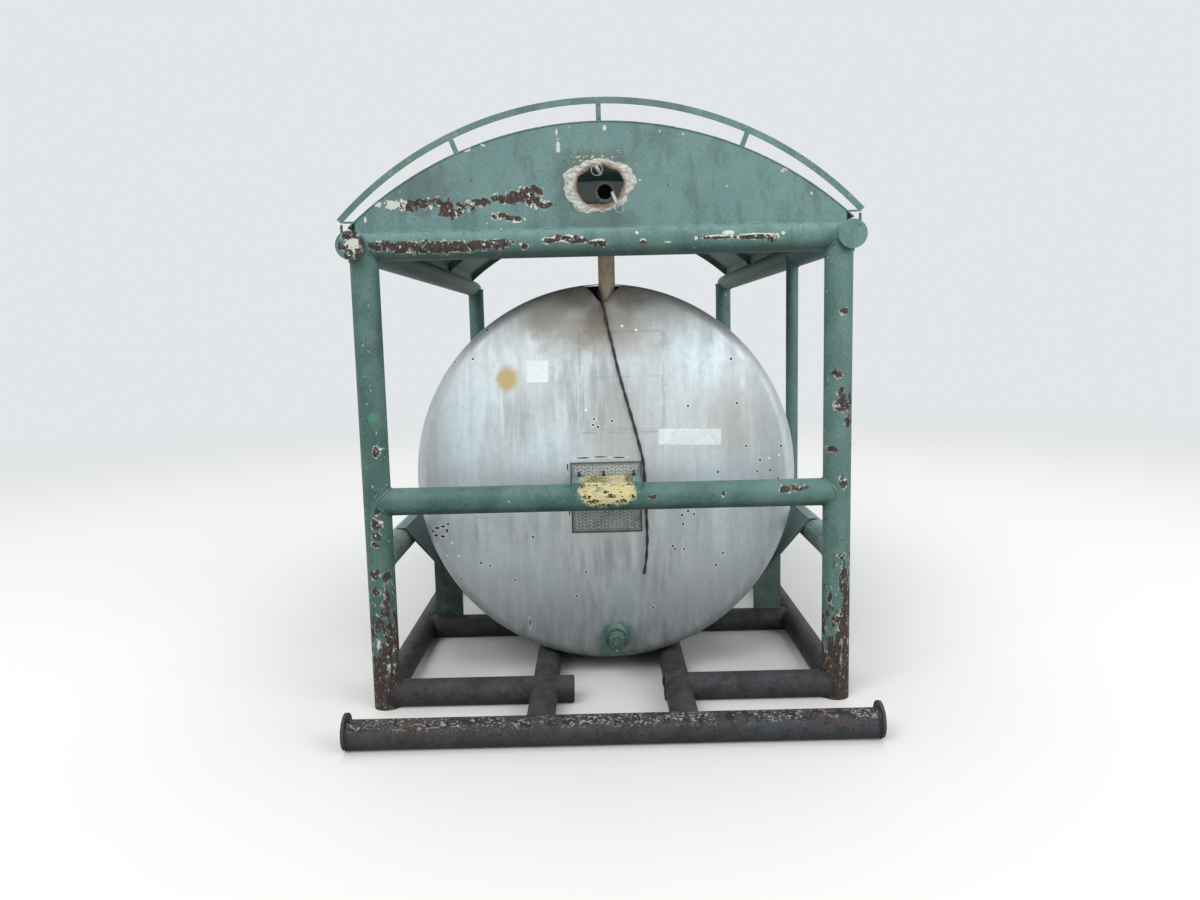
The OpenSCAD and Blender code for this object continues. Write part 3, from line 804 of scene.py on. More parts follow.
@dataclass(frozen=True)
class TreadAluminium:
    """Checkered aluminium plate, rolled and then walked on.

    The eye sees grey metal dulled by grit, darker low down, in a ragged rusty frame along its four edges.
    """

    name: str = "tread_aluminium"
    edges: tuple[tuple[str, float, float], ...] = (
        ("X", 0.1435, 0.146), ("X", -0.1475, -0.150), ("Z", 1.003, 1.006), ("Z", 0.709, 0.706))

    def mix(self) -> Paint:
        """Builds the material: metal, scuffs, dirt and a rusty edge.

        Returns:
            The material.
        """
        coat = Canvas(self.name, "#a3aaaa", 0.45, 0.7)
        coat.mottle(0.4, 45, 0.5, 0.1, "#858b8a", 0.6, 0.4)
        coat.mottle(0.6, 6, 0.55, 0.06, "#5d6161", 0.7, 0.2)
        coat.layer(coat.faint(coat.rise("Z", 0.962, 0.955), 0.35), "#8d8a80", 0.7, 0.1)
        low = coat.faint(coat.patches(60, 0.55, 0.1), 0.4)
        coat.layer(coat.both(coat.rise("Z", 0.985, 0.955, 0.008, 30), low), "#4d5354", 0.7, 0.2)
        for axis, inner, outer in self.edges:
            rim = coat.rise(axis, inner, outer, 0.002, 14)
            coat.layer(coat.faint(rim, 0.85), "#564741", 0.85, 0.1)
        return coat.dry()


@dataclass(frozen=True)
class PlainCoat:
    """A simple finish of one colour with patches of a second and specks of a third.

    Size is the patches' in millimetres, and the specks' is a quarter of it.
    """

    name: str
    colour: str
    second: str
    third: str
    roughness: float
    metallic: float = 0.0
    size: float = 30.0
    relief: float = 0.1

    def mix(self) -> Paint:
        """Builds the material: the first colour, the patches and the specks.

        Returns:
            The material.
        """
        coat = Canvas(self.name, self.colour, self.roughness, self.metallic)
        coat.mottle(0.8, self.size, 0.5, 0.08, self.second)
        coat.layer(coat.patches(self.size / 4, 0.6, 0.05), self.third, height=self.relief)
        return coat.dry(0.4)


@dataclass(frozen=True)
class PlasterCrust:
    """Burnt plaster and ash round the vent.

    The eye sees a dry, crumbly greyish white, scorched brown in a band along the hole.
    """

    name: str = "plaster_crust"
    middle: Vec = (0.0, -1.723, 2.152)

    def mix(self) -> Paint:
        """Builds the material: white crust with grey patches and crumbs, then the scorched band.

        Returns:
            The material.
        """
        coat = Canvas(self.name, "#c3c5c0", 0.95)
        coat.mottle(0.7, 16, 0.52, 0.08, "#a09d95", height=0.4)
        coat.layer(coat.patches(6, 0.6, 0.04), "#847b71", height=-0.5)
        coat.mottle(0.8, 5, 0.62, 0.04, "#d9dad6", height=0.4)
        hole = coat.nearness([Blob(self.middle, (0.105, 0.5, 0.089), 0.0)], 0.12, 30)
        coat.layer(coat.within(hole, 1.0, 0.08), "#8d7b6d", 0.95, height=0.2)
        coat.layer(coat.within(hole, 0.88, 0.08), "#6b5a4e", 0.95)
        return coat.dry(0.3)


@dataclass(frozen=True)
class BurntSteel:
    """Bare steel fitting, sooty from the vent: dark and dull, rubbed to a pale ring on the socket's face."""

    name: str = "burnt_steel"
    face_y: float = -1.515

    def mix(self) -> Paint:
        """Builds the material: steel, soot, the pale face and crumbs.

        Returns:
            The material.
        """
        coat = Canvas(self.name, "#777d80", 0.7, 0.3)
        coat.mottle(0.6, 22, 0.5, 0.08, "#5a5b5b")
        coat.layer(coat.rise("Y", self.face_y + 3 * MM, self.face_y + 1 * MM), "#c3cacd", 0.5)
        coat.mottle(0.6, 9, 0.58, 0.05, "#6f6a64", height=0.1)
        return coat.dry(0.4)


@dataclass(frozen=True)
class TanPrimer:
    """Tan primer on pipe, gone rusty: a warm ochre with browner patches and thin dark runs down it."""

    name: str = "tan_primer"

    def mix(self) -> Paint:
        """Builds the material: primer, patches, runs and pale crumbs.

        Returns:
            The material.
        """
        coat = Canvas(self.name, "#d0c3ac", 0.75)
        coat.mottle(0.7, 30, 0.5, 0.08, "#bdab8e")
        coat.mottle(0.45, 9, 0.56, 0.05, "#8a755c", 0.85, stretch=(1, 1, 6))
        coat.layer(coat.patches(7, 0.62, 0.03), "#c9b48f", height=0.1)
        return coat.dry(0.35)


def new_object(name: str, data: bpy.types.ID, paint: Paint) -> bpy.types.Object:
    """Links new data to the scene as a piece that rides on the tank.

    Args:
        name: The piece's name.
        data: Its mesh or curve.
        paint: Its material.

    Returns:
        The piece.
    """
    data.materials.append(paint)
    piece = bpy.data.objects.new(name, data)
    bpy.context.scene.collection.objects.link(piece)
    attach(piece, BODY)
    log.info("made %s", name)
    return piece


@dataclass
class Skin:
    """A surface as a grid of points, and how its sides join."""

    points: np.ndarray
    ring: bool = True
    loop: bool = False

    def quads(self) -> np.ndarray:
        """Corners of the grid's cells: (i, j), (i + 1, j), (i + 1, j + 1), (i, j + 1), outward for a tube.

        Returns:
            Four point numbers a row.
        """
        n, m = self.points.shape[:2]
        rows = np.arange(n if self.loop else n - 1)[:, None]
        cols = np.arange(m if self.ring else m - 1)[None, :]
        down, right = (rows + 1) % n, (cols + 1) % m
        corners = (rows * m + cols, down * m + cols, down * m + right, rows * m + right)
        return np.stack(np.broadcast_arrays(*corners), -1).reshape(-1, 4)

    def ends(self) -> list[np.ndarray]:
        """Corners of the two flat ends of a tube, outward, or nothing for a loop or an open sheet.

        Returns:
            The point numbers of each end.
        """
        n, m = self.points.shape[:2]
        if self.loop or not self.ring:
            return []
        return [np.arange(m), (n - 1) * m + np.arange(m)[::-1]]


def joined(name: str, skins: Iterable[Skin], smooth: bool = True) -> bpy.types.Mesh:
    """Puts surfaces into one mesh.

    Args:
        name: The mesh's name.
        skins: The surfaces.
        smooth: Whether their grids shade smoothly; flat ends never do.

    Returns:
        The mesh.
    """
    points, corners, sizes, shades, start = [], [], [], [], 0
    for skin in skins:
        quads = skin.quads() + start
        points.append(skin.points.reshape(-1, 3))
        corners.append(quads.ravel())
        sizes.append(np.full(len(quads), 4))
        shades.append(np.full(len(quads), smooth))
        for end in skin.ends():
            corners.append(end + start)
            sizes.append(np.array([len(end)]))
            shades.append(np.array([False]))
        start += len(points[-1])
    mesh = bpy.data.meshes.new(name)
    total = np.concatenate(sizes)
    mesh.vertices.add(start)
    mesh.vertices.foreach_set("co", np.concatenate(points).astype(np.float32).ravel())
    mesh.loops.add(int(total.sum()))
    mesh.loops.foreach_set("vertex_index", np.concatenate(corners).astype(np.int32))
    mesh.polygons.add(len(total))
    mesh.polygons.foreach_set("loop_start", (np.cumsum(total) - total).astype(np.int32))
    mesh.polygons.foreach_set("use_smooth", np.concatenate(shades))
    mesh.update(calc_edges=True)
    mesh.validate()
    return mesh


def unit(vectors: np.ndarray) -> np.ndarray:
    """Vectors divided by their lengths."""
    return vectors / np.linalg.norm(vectors, axis=-1, keepdims=True)


def sweep(path: np.ndarray, up: np.ndarray, outline: np.ndarray, loop: bool = False,
          scale: np.ndarray | float = 1.0) -> Skin:
    """Carries a profile along a path.

    A point of the surface is path + scale * (u * side + v * lift), where side is the path's direction crossed
    with up and lift is side crossed with the direction.

    Args:
        path: The path's points, one a row.
        up: One direction a point, or one for them all.
        outline: The profile's points (u, v), counterclockwise, or one such profile a point of the path.
        loop: Whether the path closes on itself.
        scale: One number a point, or one for them all.

    Returns:
        The swept tube.
    """
    along = np.roll(path, -1, 0) - np.roll(path, 1, 0) if loop else np.gradient(path, axis=0)
    along = unit(along)
    side = unit(np.cross(along, np.broadcast_to(up, path.shape)))
    lift = np.cross(side, along)
    outline = np.broadcast_to(outline, (len(path), *outline.shape[-2:]))
    scale = np.broadcast_to(scale, len(path))[:, None, None]
    ring = outline[..., :1] * side[:, None] + outline[..., 1:] * lift[:, None]
    return Skin(path[:, None] + scale * ring, ring=True, loop=loop)


def circle(radius: float, sides: int) -> np.ndarray:
    """Points (radius cos a, radius sin a) of a circle, counterclockwise."""
    a = np.linspace(0, 2 * np.pi, sides, endpoint=False)
    return radius * np.stack([np.cos(a), np.sin(a)], -1)


def smooth_path(points: Sequence[Vec], step: float) -> np.ndarray:
    """Catmull-Rom curve through points, with about one point a step.

    Between b and c, with neighbours a and d, it is half of 2b + (c - a) t + (2a - 5b + 4c - d) t squared
    + (3b - a - 3c + d) t cubed.

    Args:
        points: The points that it goes through.
        step: Distance between its own points, in metres.

    Returns:
        Its points, one a row.
    """
    p = np.array(points, float)
    p = np.vstack([2 * p[0] - p[1], p, 2 * p[-1] - p[-2]])
    pieces = []
    for a, b, c, d in zip(p, p[1:], p[2:], p[3:]):
        count = max(2, round(float(np.linalg.norm(c - b)) / step))
        t = np.linspace(0, 1, count, endpoint=False)[:, None]
        pieces.append(0.5 * (2 * b + (c - a) * t + (2 * a - 5 * b + 4 * c - d) * t ** 2
                             + (3 * b - a - 3 * c + d) * t ** 3))
    return np.vstack([*pieces, p[-2:-1]])


@dataclass(frozen=True)
class Pipe:
    """A straight round pipe: a point on its axis, the way it runs and its outer radius."""

    point: Vec
    way: Vec
    radius: float


@dataclass(frozen=True)
class WeldBead:
    """A bead of weld: its radius, its ripples' spacing and how far short of an axis a coped end stops.

    Swell and drift are how much its size changes, as shares, with each ripple and more slowly.
    """

    radius: float = 4.5 * MM
    ripple: float = 7 * MM
    swell: float = 1 / 7
    drift: float = 1 / 12
    drifts_per_metre: float = 61 / (2 * math.pi)
    ear: float = 14 * MM
    steps: int = 120
    sides: int = 8

    def round_joint(self, branch: Pipe, headers: Sequence[Pipe]) -> Skin:
        """Bead round the end of a pipe where it lands on others.

        A point of the branch's wall at each angle is moved along the branch until its distance from a
        header's axis is the header's radius; it stops at the first header that it meets, and short of their
        axes.

        Args:
            branch: The pipe that ends, with a point on its axis before the joint and the way to the joint.
            headers: The pipes that it lands on.

        Returns:
            The bead.
        """
        way = unit(np.array(branch.way, float))
        first = unit(np.cross(way, (0.3, 0.5, 0.81)))
        second = np.cross(way, first)
        a = np.linspace(0, 2 * np.pi, self.steps, endpoint=False)[:, None]
        out = np.cos(a) * first + np.sin(a) * second
        wall = np.array(branch.point) + branch.radius * out
        reach = np.full(self.steps, np.inf)
        for header in headers:
            axis = unit(np.array(header.way, float))
            to_wall = wall - np.array(header.point)
            to_wall = to_wall - (to_wall @ axis)[:, None] * axis
            step = way - (way @ axis) * axis
            square, cross = step @ step, to_wall @ step
            rest = (to_wall ** 2).sum(1) - header.radius ** 2
            inside = cross ** 2 - square * rest
            root = (-cross - np.sqrt(np.maximum(inside, 0))) / square
            middle = float((np.array(header.point) - np.array(branch.point)) @ step / square) - self.ear
            reach = np.minimum(reach, np.where(inside > 0, np.minimum(root, middle), middle))
        return self.along(wall + reach[:, None] * way, out, loop=True)

    def along(self, path: np.ndarray, up: np.ndarray, loop: bool = False) -> Skin:
        """Bead along a path: a round profile whose size ripples with the sine of the distance run.

        Args:
            path: The path's points, one a row.
            up: One direction a point, or one for them all.
            loop: Whether the path closes on itself.

        Returns:
            The bead.
        """
        run = np.concatenate([[0], np.cumsum(np.linalg.norm(np.diff(path, axis=0), axis=1))])
        ripples = max(1, round(run[-1] / self.ripple)) if loop else run[-1] / self.ripple
        swell = self.swell * np.sin(2 * np.pi * ripples * run / run[-1])
        drift = self.drift * np.sin(2 * np.pi * self.drifts_per_metre * run)
        scale = 1 + swell + drift
        return sweep(path, up, circle(self.radius, self.sides), loop, scale)


@dataclass(frozen=True)
class Pipework:
    """Where the frame's pipes run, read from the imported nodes."""

    radius: float
    post_x: float
    post_y: float
    rail_x: float
    rail_z: float
    bar_z: float
    brace_z: float
    inner_x: float
    tow_y: float
    cross_y: float
    upright_radius: float

    @classmethod
    def read(cls) -> Pipework:
        """Takes each axis as the middle of a node's box.

        Returns:
            The pipes' places and radii.
        """
        def middle(node: str) -> np.ndarray:
            """Middle of a node's box.

            Args:
                node: The node's name.

            Returns:
                The middle's x, y and z.
            """
            low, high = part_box(node)
            return (np.array(low) + np.array(high)) / 2

        post, rail = middle("front_right_post"), middle("right_top_rail")
        low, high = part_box("front_right_post")
        thin_low, thin_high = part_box("right_upright")
        return cls(
            radius=(high.x - low.x) / 2, post_x=post[0], post_y=-post[1], rail_x=rail[0], rail_z=rail[2],
            bar_z=middle("front_cross_bar")[2], brace_z=middle("right_mid_braces")[2],
            inner_x=middle("inner_right_skid_pipe")[0], tow_y=middle("rear_tow_pipe")[1],
            cross_y=middle("rear_saddle_legs")[1],
            upright_radius=(thin_high.y - thin_low.y) / 2)


@dataclass
class PipeFrame:
    """Posts, rails, beam, bars and braces of the green frame."""

    pipes: Pipework
    bead: WeldBead = WeldBead()
    nodes: tuple[str, ...] = ("left_top_rail", "right_top_rail", "rear_cross_bar", "right_upright")
    posts: tuple[str, ...] = ("rear_left_post", "rear_right_post")
    saddles: tuple[str, ...] = (
        "front_saddle_band", "rear_saddle_band", "front_saddle_legs", "rear_saddle_legs")
    braces: tuple[str, ...] = ("left_mid_braces", "right_mid_braces")
    lip_reach: float = 9 * MM
    lip_half: tuple[float, float] = (0.5 * MM, 1 * MM)

    BEAM_RUST = (
        Mark(380, 246, 14, 5), Mark(402, 246.5, 18, 5.2), Mark(430, 247, 20, 5.5),
        Mark(455, 246.5, 18, 5), Mark(478, 245, 18, 4.8), Mark(497, 244, 12, 4.5),
        Mark(524, 246.8, 3.2, 2.8), Mark(549, 241, 6, 3), Mark(562, 238, 9, 3.2), Mark(577, 240, 9, 3.4),
        Mark(599, 243, 9, 3), Mark(643, 242, 2.6, 2.4), Mark(720, 237.6, 14, 1.4),
        Mark(759, 236.6, 17, 2.2), Mark(770, 238, 4, 3))
    BEAM_WHITE = (
        Mark(563, 238.5, 19, 3.4), Mark(447, 251, 15, 1.4), Mark(412, 252.5, 10, 1),
        Mark(720, 236.6, 16, 2.2), Mark(728, 232.4, 5.5, 2.4), Mark(758, 234.4, 20, 1.6),
        Mark(739, 237, 3, 2), Mark(637, 233, 2, 2), Mark(696, 238, 1.8, 1.8), Mark(643, 240, 3, 1.6),
        Mark(598, 240, 8, 1.2), Mark(521, 244, 2, 1.6), Mark(783, 233, 2, 1.6), Mark(668, 242, 4, 0.8))
    BAR_YELLOW = (Mark(598, 493, 17.5, 13.5), Mark(619, 492, 16.5, 13), Mark(607, 497, 20, 8.5))
    BAR_BARE = (
        Mark(586, 497, 5, 2.4), Mark(593, 501, 6, 2.6), Mark(604, 505, 8, 1.4), Mark(606, 492, 3, 1.8),
        Mark(611, 496, 4, 2.2), Mark(623, 501, 6, 2), Mark(596, 484, 5, 1), Mark(632, 497, 3, 2.4),
        Mark(583, 486, 3, 1.4), Mark(628, 483, 6, 1))
    BAR_RUST = (
        Mark(786, 489, 6, 3.5), Mark(798, 488, 9, 3.2), Mark(653, 497, 4, 2.2), Mark(724, 494, 2, 2.5))
    LEFT_RUST = (
        Mark(377, 452, 4, 5), Mark(376, 525, 4.5, 5), Mark(377, 537, 5, 4.5), Mark(375, 545, 3.5, 3),
        Mark(376, 575, 5, 4.5), Mark(387, 577, 4, 5), Mark(376, 592, 3.5, 5), Mark(386, 606, 2.5, 9),
        Mark(378, 626, 3, 8), Mark(391, 640, 4, 16), Mark(384, 663, 6, 12), Mark(377, 512, 2.5, 4))
    LEFT_WHITE = (
        Mark(380, 449, 3.5, 1.8), Mark(380, 524, 3.5, 3.5), Mark(377, 535, 3, 2), Mark(379, 645, 2.6, 5),
        Mark(391, 666, 2.5, 3), Mark(385, 682, 2.5, 4))
    LEFT_BRIGHT = (Mark(373, 418, 5, 4),)
    RIGHT_RUST = (
        Mark(844, 311, 3.5, 3.5), Mark(837, 374, 4.5, 3.8), Mark(842, 393, 4, 5), Mark(843, 404, 7, 7),
        Mark(850, 398, 3, 6), Mark(848, 421, 5, 6), Mark(852, 441, 3, 8), Mark(832, 449, 4.5, 3),
        Mark(843, 482, 4, 6), Mark(852, 552, 4.5, 7), Mark(841, 556, 4, 3.5), Mark(845, 588, 5, 8),
        Mark(850, 608, 4, 14), Mark(838, 619, 3, 4), Mark(844, 632, 3, 10), Mark(848, 660, 7, 18))
    RIGHT_WHITE = (
        Mark(841, 405, 2.4, 2.4), Mark(836, 376, 2, 1.4), Mark(846, 592, 2, 6), Mark(843, 615, 1.6, 5),
        Mark(850, 418, 2, 2))
    RIM_RUST = tuple(Mark(353 + 10.5 * math.cos(a), 245 + 11 * math.sin(a), 4.6, 4.6) for a in range(7))
    RIM_PALE = (Mark(352, 243, 6.5, 7.5), Mark(350, 238, 4, 4), Mark(356, 249, 3, 3.5))

    def dress(self) -> None:
        """Gives every node of the frame its coat of enamel, with the marks that show on it."""
        on = PHOTO.blobs
        paint_nodes(self.nodes, FadedEnamel("frame_enamel", wear=0.005).mix())
        paint_nodes(self.posts, FadedEnamel("rear_post_enamel", rusts_from_ground=True).mix())
        # Painted shade: the saddles sit in the tank's shadow, so their enamel is painted nearly black; the
        # braces are grey with dust.
        paint_nodes(self.saddles, FadedEnamel(
            "shaded_saddle_enamel", deep="#101d1b", chalky="#182724", wear=-0.02).mix())
        paint_nodes(self.braces, FadedEnamel(
            "brace_enamel", deep="#5c625a", chalky="#73756c", wear=0.07).mix())
        paint_nodes(["drain_coupling", "drain_plug"], FadedEnamel(
            "drain_enamel", deep="#34463f", chalky="#4f625c", wear=0.06).mix())
        paint_nodes(["front_top_beam"], FadedEnamel(
            "beam_enamel", rust=on(Seat.BEAM, self.BEAM_RUST), white=on(Seat.BEAM, self.BEAM_WHITE)).mix())
        bar = FadedEnamel(
            "bar_enamel", deep="#2f544e", chalky="#40665f", top_highlight=0.2, rust=on(Seat.BAR, self.BAR_RUST),
            yellow=on(Seat.BAR, self.BAR_YELLOW), bare=on(Seat.BAR, self.BAR_BARE)).mix()
        paint_nodes(["front_cross_bar"], bar)
        self.pad_lip(bar)
        paint_nodes(["front_left_post"], FadedEnamel(
            "left_post_enamel", deep="#2f4f47", chalky="#4b6d66", rust=on(Seat.LEFT_POST, self.LEFT_RUST),
            white=on(Seat.LEFT_POST, self.LEFT_WHITE), bright=on(Seat.LEFT_POST, self.LEFT_BRIGHT),
            rusts_from_ground=True, wear=0.01).mix())
        paint_nodes(["front_right_post"], FadedEnamel(
            "right_post_enamel", deep="#2f4f47", chalky="#4b6d66", rust=on(Seat.RIGHT_POST, self.RIGHT_RUST),
            white=on(Seat.RIGHT_POST, self.RIGHT_WHITE), rusts_from_ground=True, wear=0.02).mix())
        paint_nodes(["top_rail_caps"], FadedEnamel(
            "cap_enamel", rust=on(Seat.LEFT_CAP, self.RIM_RUST),
            white=on(Seat.LEFT_CAP, self.RIM_PALE)).mix())

    def pad_lip(self, paint: Paint) -> None:
        """The step pad's front edge, bent down onto the bar: a flat profile carried along the pad's width.

        Its foot lies on the bar's round wall, at z = axis + root of (radius squared - y squared). Its half
        thickness is lip_half, first at the top and then at the foot.

        Args:
            paint: Its material.
        """
        low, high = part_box("step_pad")
        foot_y = low.y - self.lip_reach
        foot_z = self.pipes.bar_z + math.sqrt(self.pipes.radius ** 2 - (foot_y + self.pipes.post_y) ** 2)
        drop = foot_z - high.z
        x = np.linspace(low.x, high.x, 40)
        path = np.stack([x, np.full_like(x, low.y), np.full_like(x, high.z)], -1)
        top, foot = self.lip_half
        outline = np.array([
            (top, 0), (-top, 0), (self.lip_reach - foot, drop), (self.lip_reach + foot, drop)])
        lip = joined("pad_lip", [sweep(path, np.array([0, 0, 1.0]), outline)], smooth=False)
        new_object("pad_lip", lip, paint)

    def weld(self, paint: Paint) -> None:
        """Lays a bead round each joint of the green pipes.

        An upright pipe's point is at any height between its joints.

        Args:
            paint: The beads' material.
        """
        p = self.pipes
        r = p.radius
        bead = self.bead.round_joint
        between = (p.brace_z + p.rail_z) / 2
        skins = []
        for side in (-1, 1):
            rail = Pipe((side * p.rail_x, 0, p.rail_z), (0, 1, 0), r)
            brace = Pipe((side * p.post_x, 0, p.brace_z), (0, 1, 0), r)
            for end in (-1, 1):
                y = end * p.post_y
                post = Pipe((side * p.post_x, y, between), (0, 0, 1), r)
                beam = Pipe((0, y, p.rail_z), (1, 0, 0), r)
                skins.append(bead(post, [rail, beam] if end < 0 else [rail]))
                skins.append(bead(Pipe((0, y, p.bar_z), (side, 0, 0), r), [post]))
                skins.append(bead(Pipe((side * p.post_x, 0, p.brace_z), (0, end, 0), r), [post]))
                if end < 0:
                    skins.append(bead(Pipe((0, y, p.rail_z), (side, 0, 0), r), [rail]))
            if side > 0:
                thin = (p.post_x, -p.cross_y, between)
                skins.append(bead(Pipe(thin, (0, 0, 1), p.upright_radius), [rail]))
                skins.append(bead(Pipe(thin, (0, 0, -1), p.upright_radius), [brace]))
        new_object("frame_welds", joined("frame_welds", skins), paint)


def paint_nodes(nodes: Iterable[str], paint: Paint) -> None:
    """Gives CAD nodes a material through their slots.

    Args:
        nodes: The nodes' names.
        paint: The material.
    """
    for name in nodes:
        node = bpy.data.objects[name]
        if not node.material_slots:
            node.data.materials.append(paint)
        for slot in node.material_slots:
            slot.material = paint


@dataclass
class Skid:
    """The rusty pipes on the ground, with the tow pipes and their end plates.

    Beads stay off the ground by off_ground.
    """

    pipes: Pipework
    bead: WeldBead = WeldBead(radius=5.5 * MM)
    off_ground: float = 0.5 * MM
    plain: tuple[str, ...] = (
        "left_skid_pipe", "right_skid_pipe", "inner_left_skid_pipe", "inner_right_skid_pipe",
        "front_lower_rails", "rear_lower_rails", "tow_necks", "skid_cross_pipes", "tow_end_plates")

    def build(self) -> None:
        """Dresses the pipes and lays a bead round each of their joints."""
        steel = SkidSteel().mix()
        paint_nodes(self.plain, steel)
        paint_nodes(["front_tow_pipe", "rear_tow_pipe"], SkidSteel("tow_pipe_steel", walked_on=True).mix())
        p = self.pipes
        r = p.radius
        skins = []
        for side in (-1, 1):
            inner = Pipe((side * p.inner_x, 0, r), (0, 1, 0), r)
            outer = Pipe((side * p.post_x, 0, r), (0, 1, 0), r)
            for end in (-1, 1):
                post = Pipe((side * p.post_x, end * p.post_y, p.brace_z), (0, 0, 1), r)
                rail = Pipe((0, end * p.post_y, r), (1, 0, 0), r)
                tow = Pipe((0, end * p.tow_y, r), (1, 0, 0), r)
                between = (p.post_y + p.tow_y) / 2
                half = (p.inner_x + p.post_x) / 2
                for branch, header in (
                        (Pipe((side * half, end * p.post_y, r), (side, 0, 0), r), post),
                        (Pipe((side * p.post_x, 0, r), (0, end, 0), r), post),
                        (Pipe((side * p.inner_x, 0, r), (0, end, 0), r), rail),
                        (Pipe((side * p.inner_x, end * between, r), (0, -end, 0), r), rail),
                        (Pipe((side * p.inner_x, end * between, r), (0, end, 0), r), tow),
                        (Pipe((side * half, end * p.cross_y, r), (side, 0, 0), r), outer),
                        (Pipe((side * half, end * p.cross_y, r), (-side, 0, 0), r), inner)):
                    skin = self.bead.round_joint(branch, [header])
                    skin.points[..., 2] = np.maximum(skin.points[..., 2], self.off_ground)
                    skins.append(skin)
        new_object("skid_welds", joined("skid_welds", skins), steel)


@dataclass
class Canopy:
    """The roof sheet, the arch plate with its torn vent hole, the eave strips, bows and hoop.

    Plate_y is the plate's front face. The crust is stretched along X and Z, and its sides lie in front of
    that face and behind it. The weld under the plate stops short of each rail's axis.
    """

    pipes: Pipework
    plate_y: float = -1.723
    vent_z: float = 2.160
    vent_radius: float = 0.100
    crust_stretch: tuple[float, float] = (1.12, 0.94)
    crust_hump: float = 4.0 * MM
    crust_sides: tuple[float, float] = (0.5 * MM, 1.5 * MM)
    weld_radius: float = 4 * MM
    weld_short: float = 0.075
    nodes: tuple[str, ...] = ("roof_sheet", "roof_bows", "eave_strips", "front_hoop", "hoop_standoffs")

    ARCH_RUST = (
        Mark(412, 206, 9, 5), Mark(424, 204, 8, 5), Mark(436, 202, 9, 4.4), Mark(446, 208, 8, 4.6, 40),
        Mark(451, 214.5, 7, 3.6), Mark(459, 211, 4, 3), Mark(466, 206.5, 9, 3.2, -20),
        Mark(482, 202, 10, 3.4), Mark(500, 199, 10, 3.6), Mark(515, 197.5, 12, 4.8),
        Mark(528, 195, 8, 5, -40), Mark(537, 189, 7, 3.8, -40), Mark(533, 201, 9, 4),
        Mark(543, 204.5, 9, 3.6), Mark(502, 216.5, 9, 3), Mark(514, 218.5, 8, 2.4))
    ARCH_WHITE = (
        Mark(393, 204.5, 7.5, 5.2), Mark(403, 205, 7, 5), Mark(378, 204.5, 3.4, 2.6),
        Mark(462.5, 207.8, 2.5, 1.6), Mark(472, 204, 2, 1.2), Mark(497, 198.5, 3.4, 2.2),
        Mark(487, 202.5, 2.4, 1.8), Mark(446, 213, 1.6, 3.2), Mark(439, 204.8, 3, 1.4),
        Mark(540.5, 192, 1.8, 3), Mark(546, 202.5, 4.4, 2.2), Mark(536, 207, 1.6, 2.6),
        Mark(531, 206.4, 1.6, 1.6), Mark(516.5, 221, 5.6, 2), Mark(558, 146, 1.9, 6.6),
        Mark(556.5, 133, 1.2, 4), Mark(467, 150, 3.6, 1.8), Mark(481, 144.5, 4, 1, -20),
        Mark(365, 220, 1.4, 3), Mark(500, 231.2, 4.6, 0.9), Mark(514, 230.2, 3, 0.9),
        Mark(551, 229.2, 2.6, 0.9), Mark(571, 229.2, 7.6, 1.2), Mark(766, 225.8, 15, 1.8),
        Mark(713.5, 228.4, 4.6, 1.2), Mark(696.4, 227.5, 3.6, 1), Mark(655, 228, 2, 1.4),
        Mark(678.6, 226.6, 1.4, 1.4), Mark(735.7, 229.3, 1.6, 1.5), Mark(786, 168.6, 2.8, 2),
        Mark(782, 171, 1.6, 1), Mark(683, 133.7, 1.4, 1.6), Mark(659.8, 131, 1, 1.4),
        Mark(811.6, 193, 1.3, 1.3), Mark(640, 180, 1, 1), Mark(604.6, 127.6, 1.8, 2.8))
    SOOT = (Mark(602, 222, 34, 11), Mark(570, 178, 14, 24), Mark(598, 160, 34, 9), Mark(420, 190, 34, 22))
    LICHEN = (
        Mark(597, 157, 26, 5.5), Mark(577, 165, 9, 5, -40), Mark(631, 167, 8, 4, 40),
        Mark(614, 154, 12, 4))

    def build(self) -> None:
        """Dresses the sheets and adds the crust round the vent and the weld under the plate."""
        on = PHOTO.blobs
        arch = FadedEnamel(
            "arch_enamel", deep="#53736f", chalky="#668583", rust=on(Seat.ARCH, self.ARCH_RUST),
            white=on(Seat.ARCH, self.ARCH_WHITE), soot=on(Seat.ARCH, self.SOOT),
            lichen=on(Seat.ARCH, self.LICHEN)).mix()
        paint_nodes(["front_arch_plate"], arch)
        paint_nodes(self.nodes, FadedEnamel(
            "roof_enamel", deep="#42605b", chalky="#5f7c77", rained_on=True, wear=0.05).mix())
        self.crust()
        self.weld(arch)

    def weld(self, paint: Paint) -> None:
        """Lays the bead between the plate's foot and the beam, a line that wanders by a sum of two sines.

        Args:
            paint: The bead's material.
        """
        reach = self.pipes.rail_x - self.weld_short
        x = np.linspace(-reach, reach, 600)
        wander = 1.2 * MM * np.sin(23 * x) + 0.8 * MM * np.sin(61 * x + 1)
        foot = self.pipes.rail_z + self.pipes.radius
        line = np.stack([x, np.full_like(x, self.plate_y), foot + wander], -1)
        bead = WeldBead(radius=self.weld_radius).along(line, np.array([0, -1, 0]))
        new_object("arch_weld", joined("arch_weld", [bead]), paint)

    def torn(self, angle: np.ndarray) -> np.ndarray:
        """Radius of the vent hole: its circle, times one plus sines of two, five and nine waves round it.

        Args:
            angle: Angles round the hole in radians.

        Returns:
            The radius at each angle.
        """
        waves = 0.05 * np.sin(2 * angle + math.radians(40)) + 0.035 * np.sin(5 * angle)
        return self.vent_radius * (1 + waves + 0.025 * np.cos(9 * angle + math.radians(20)))

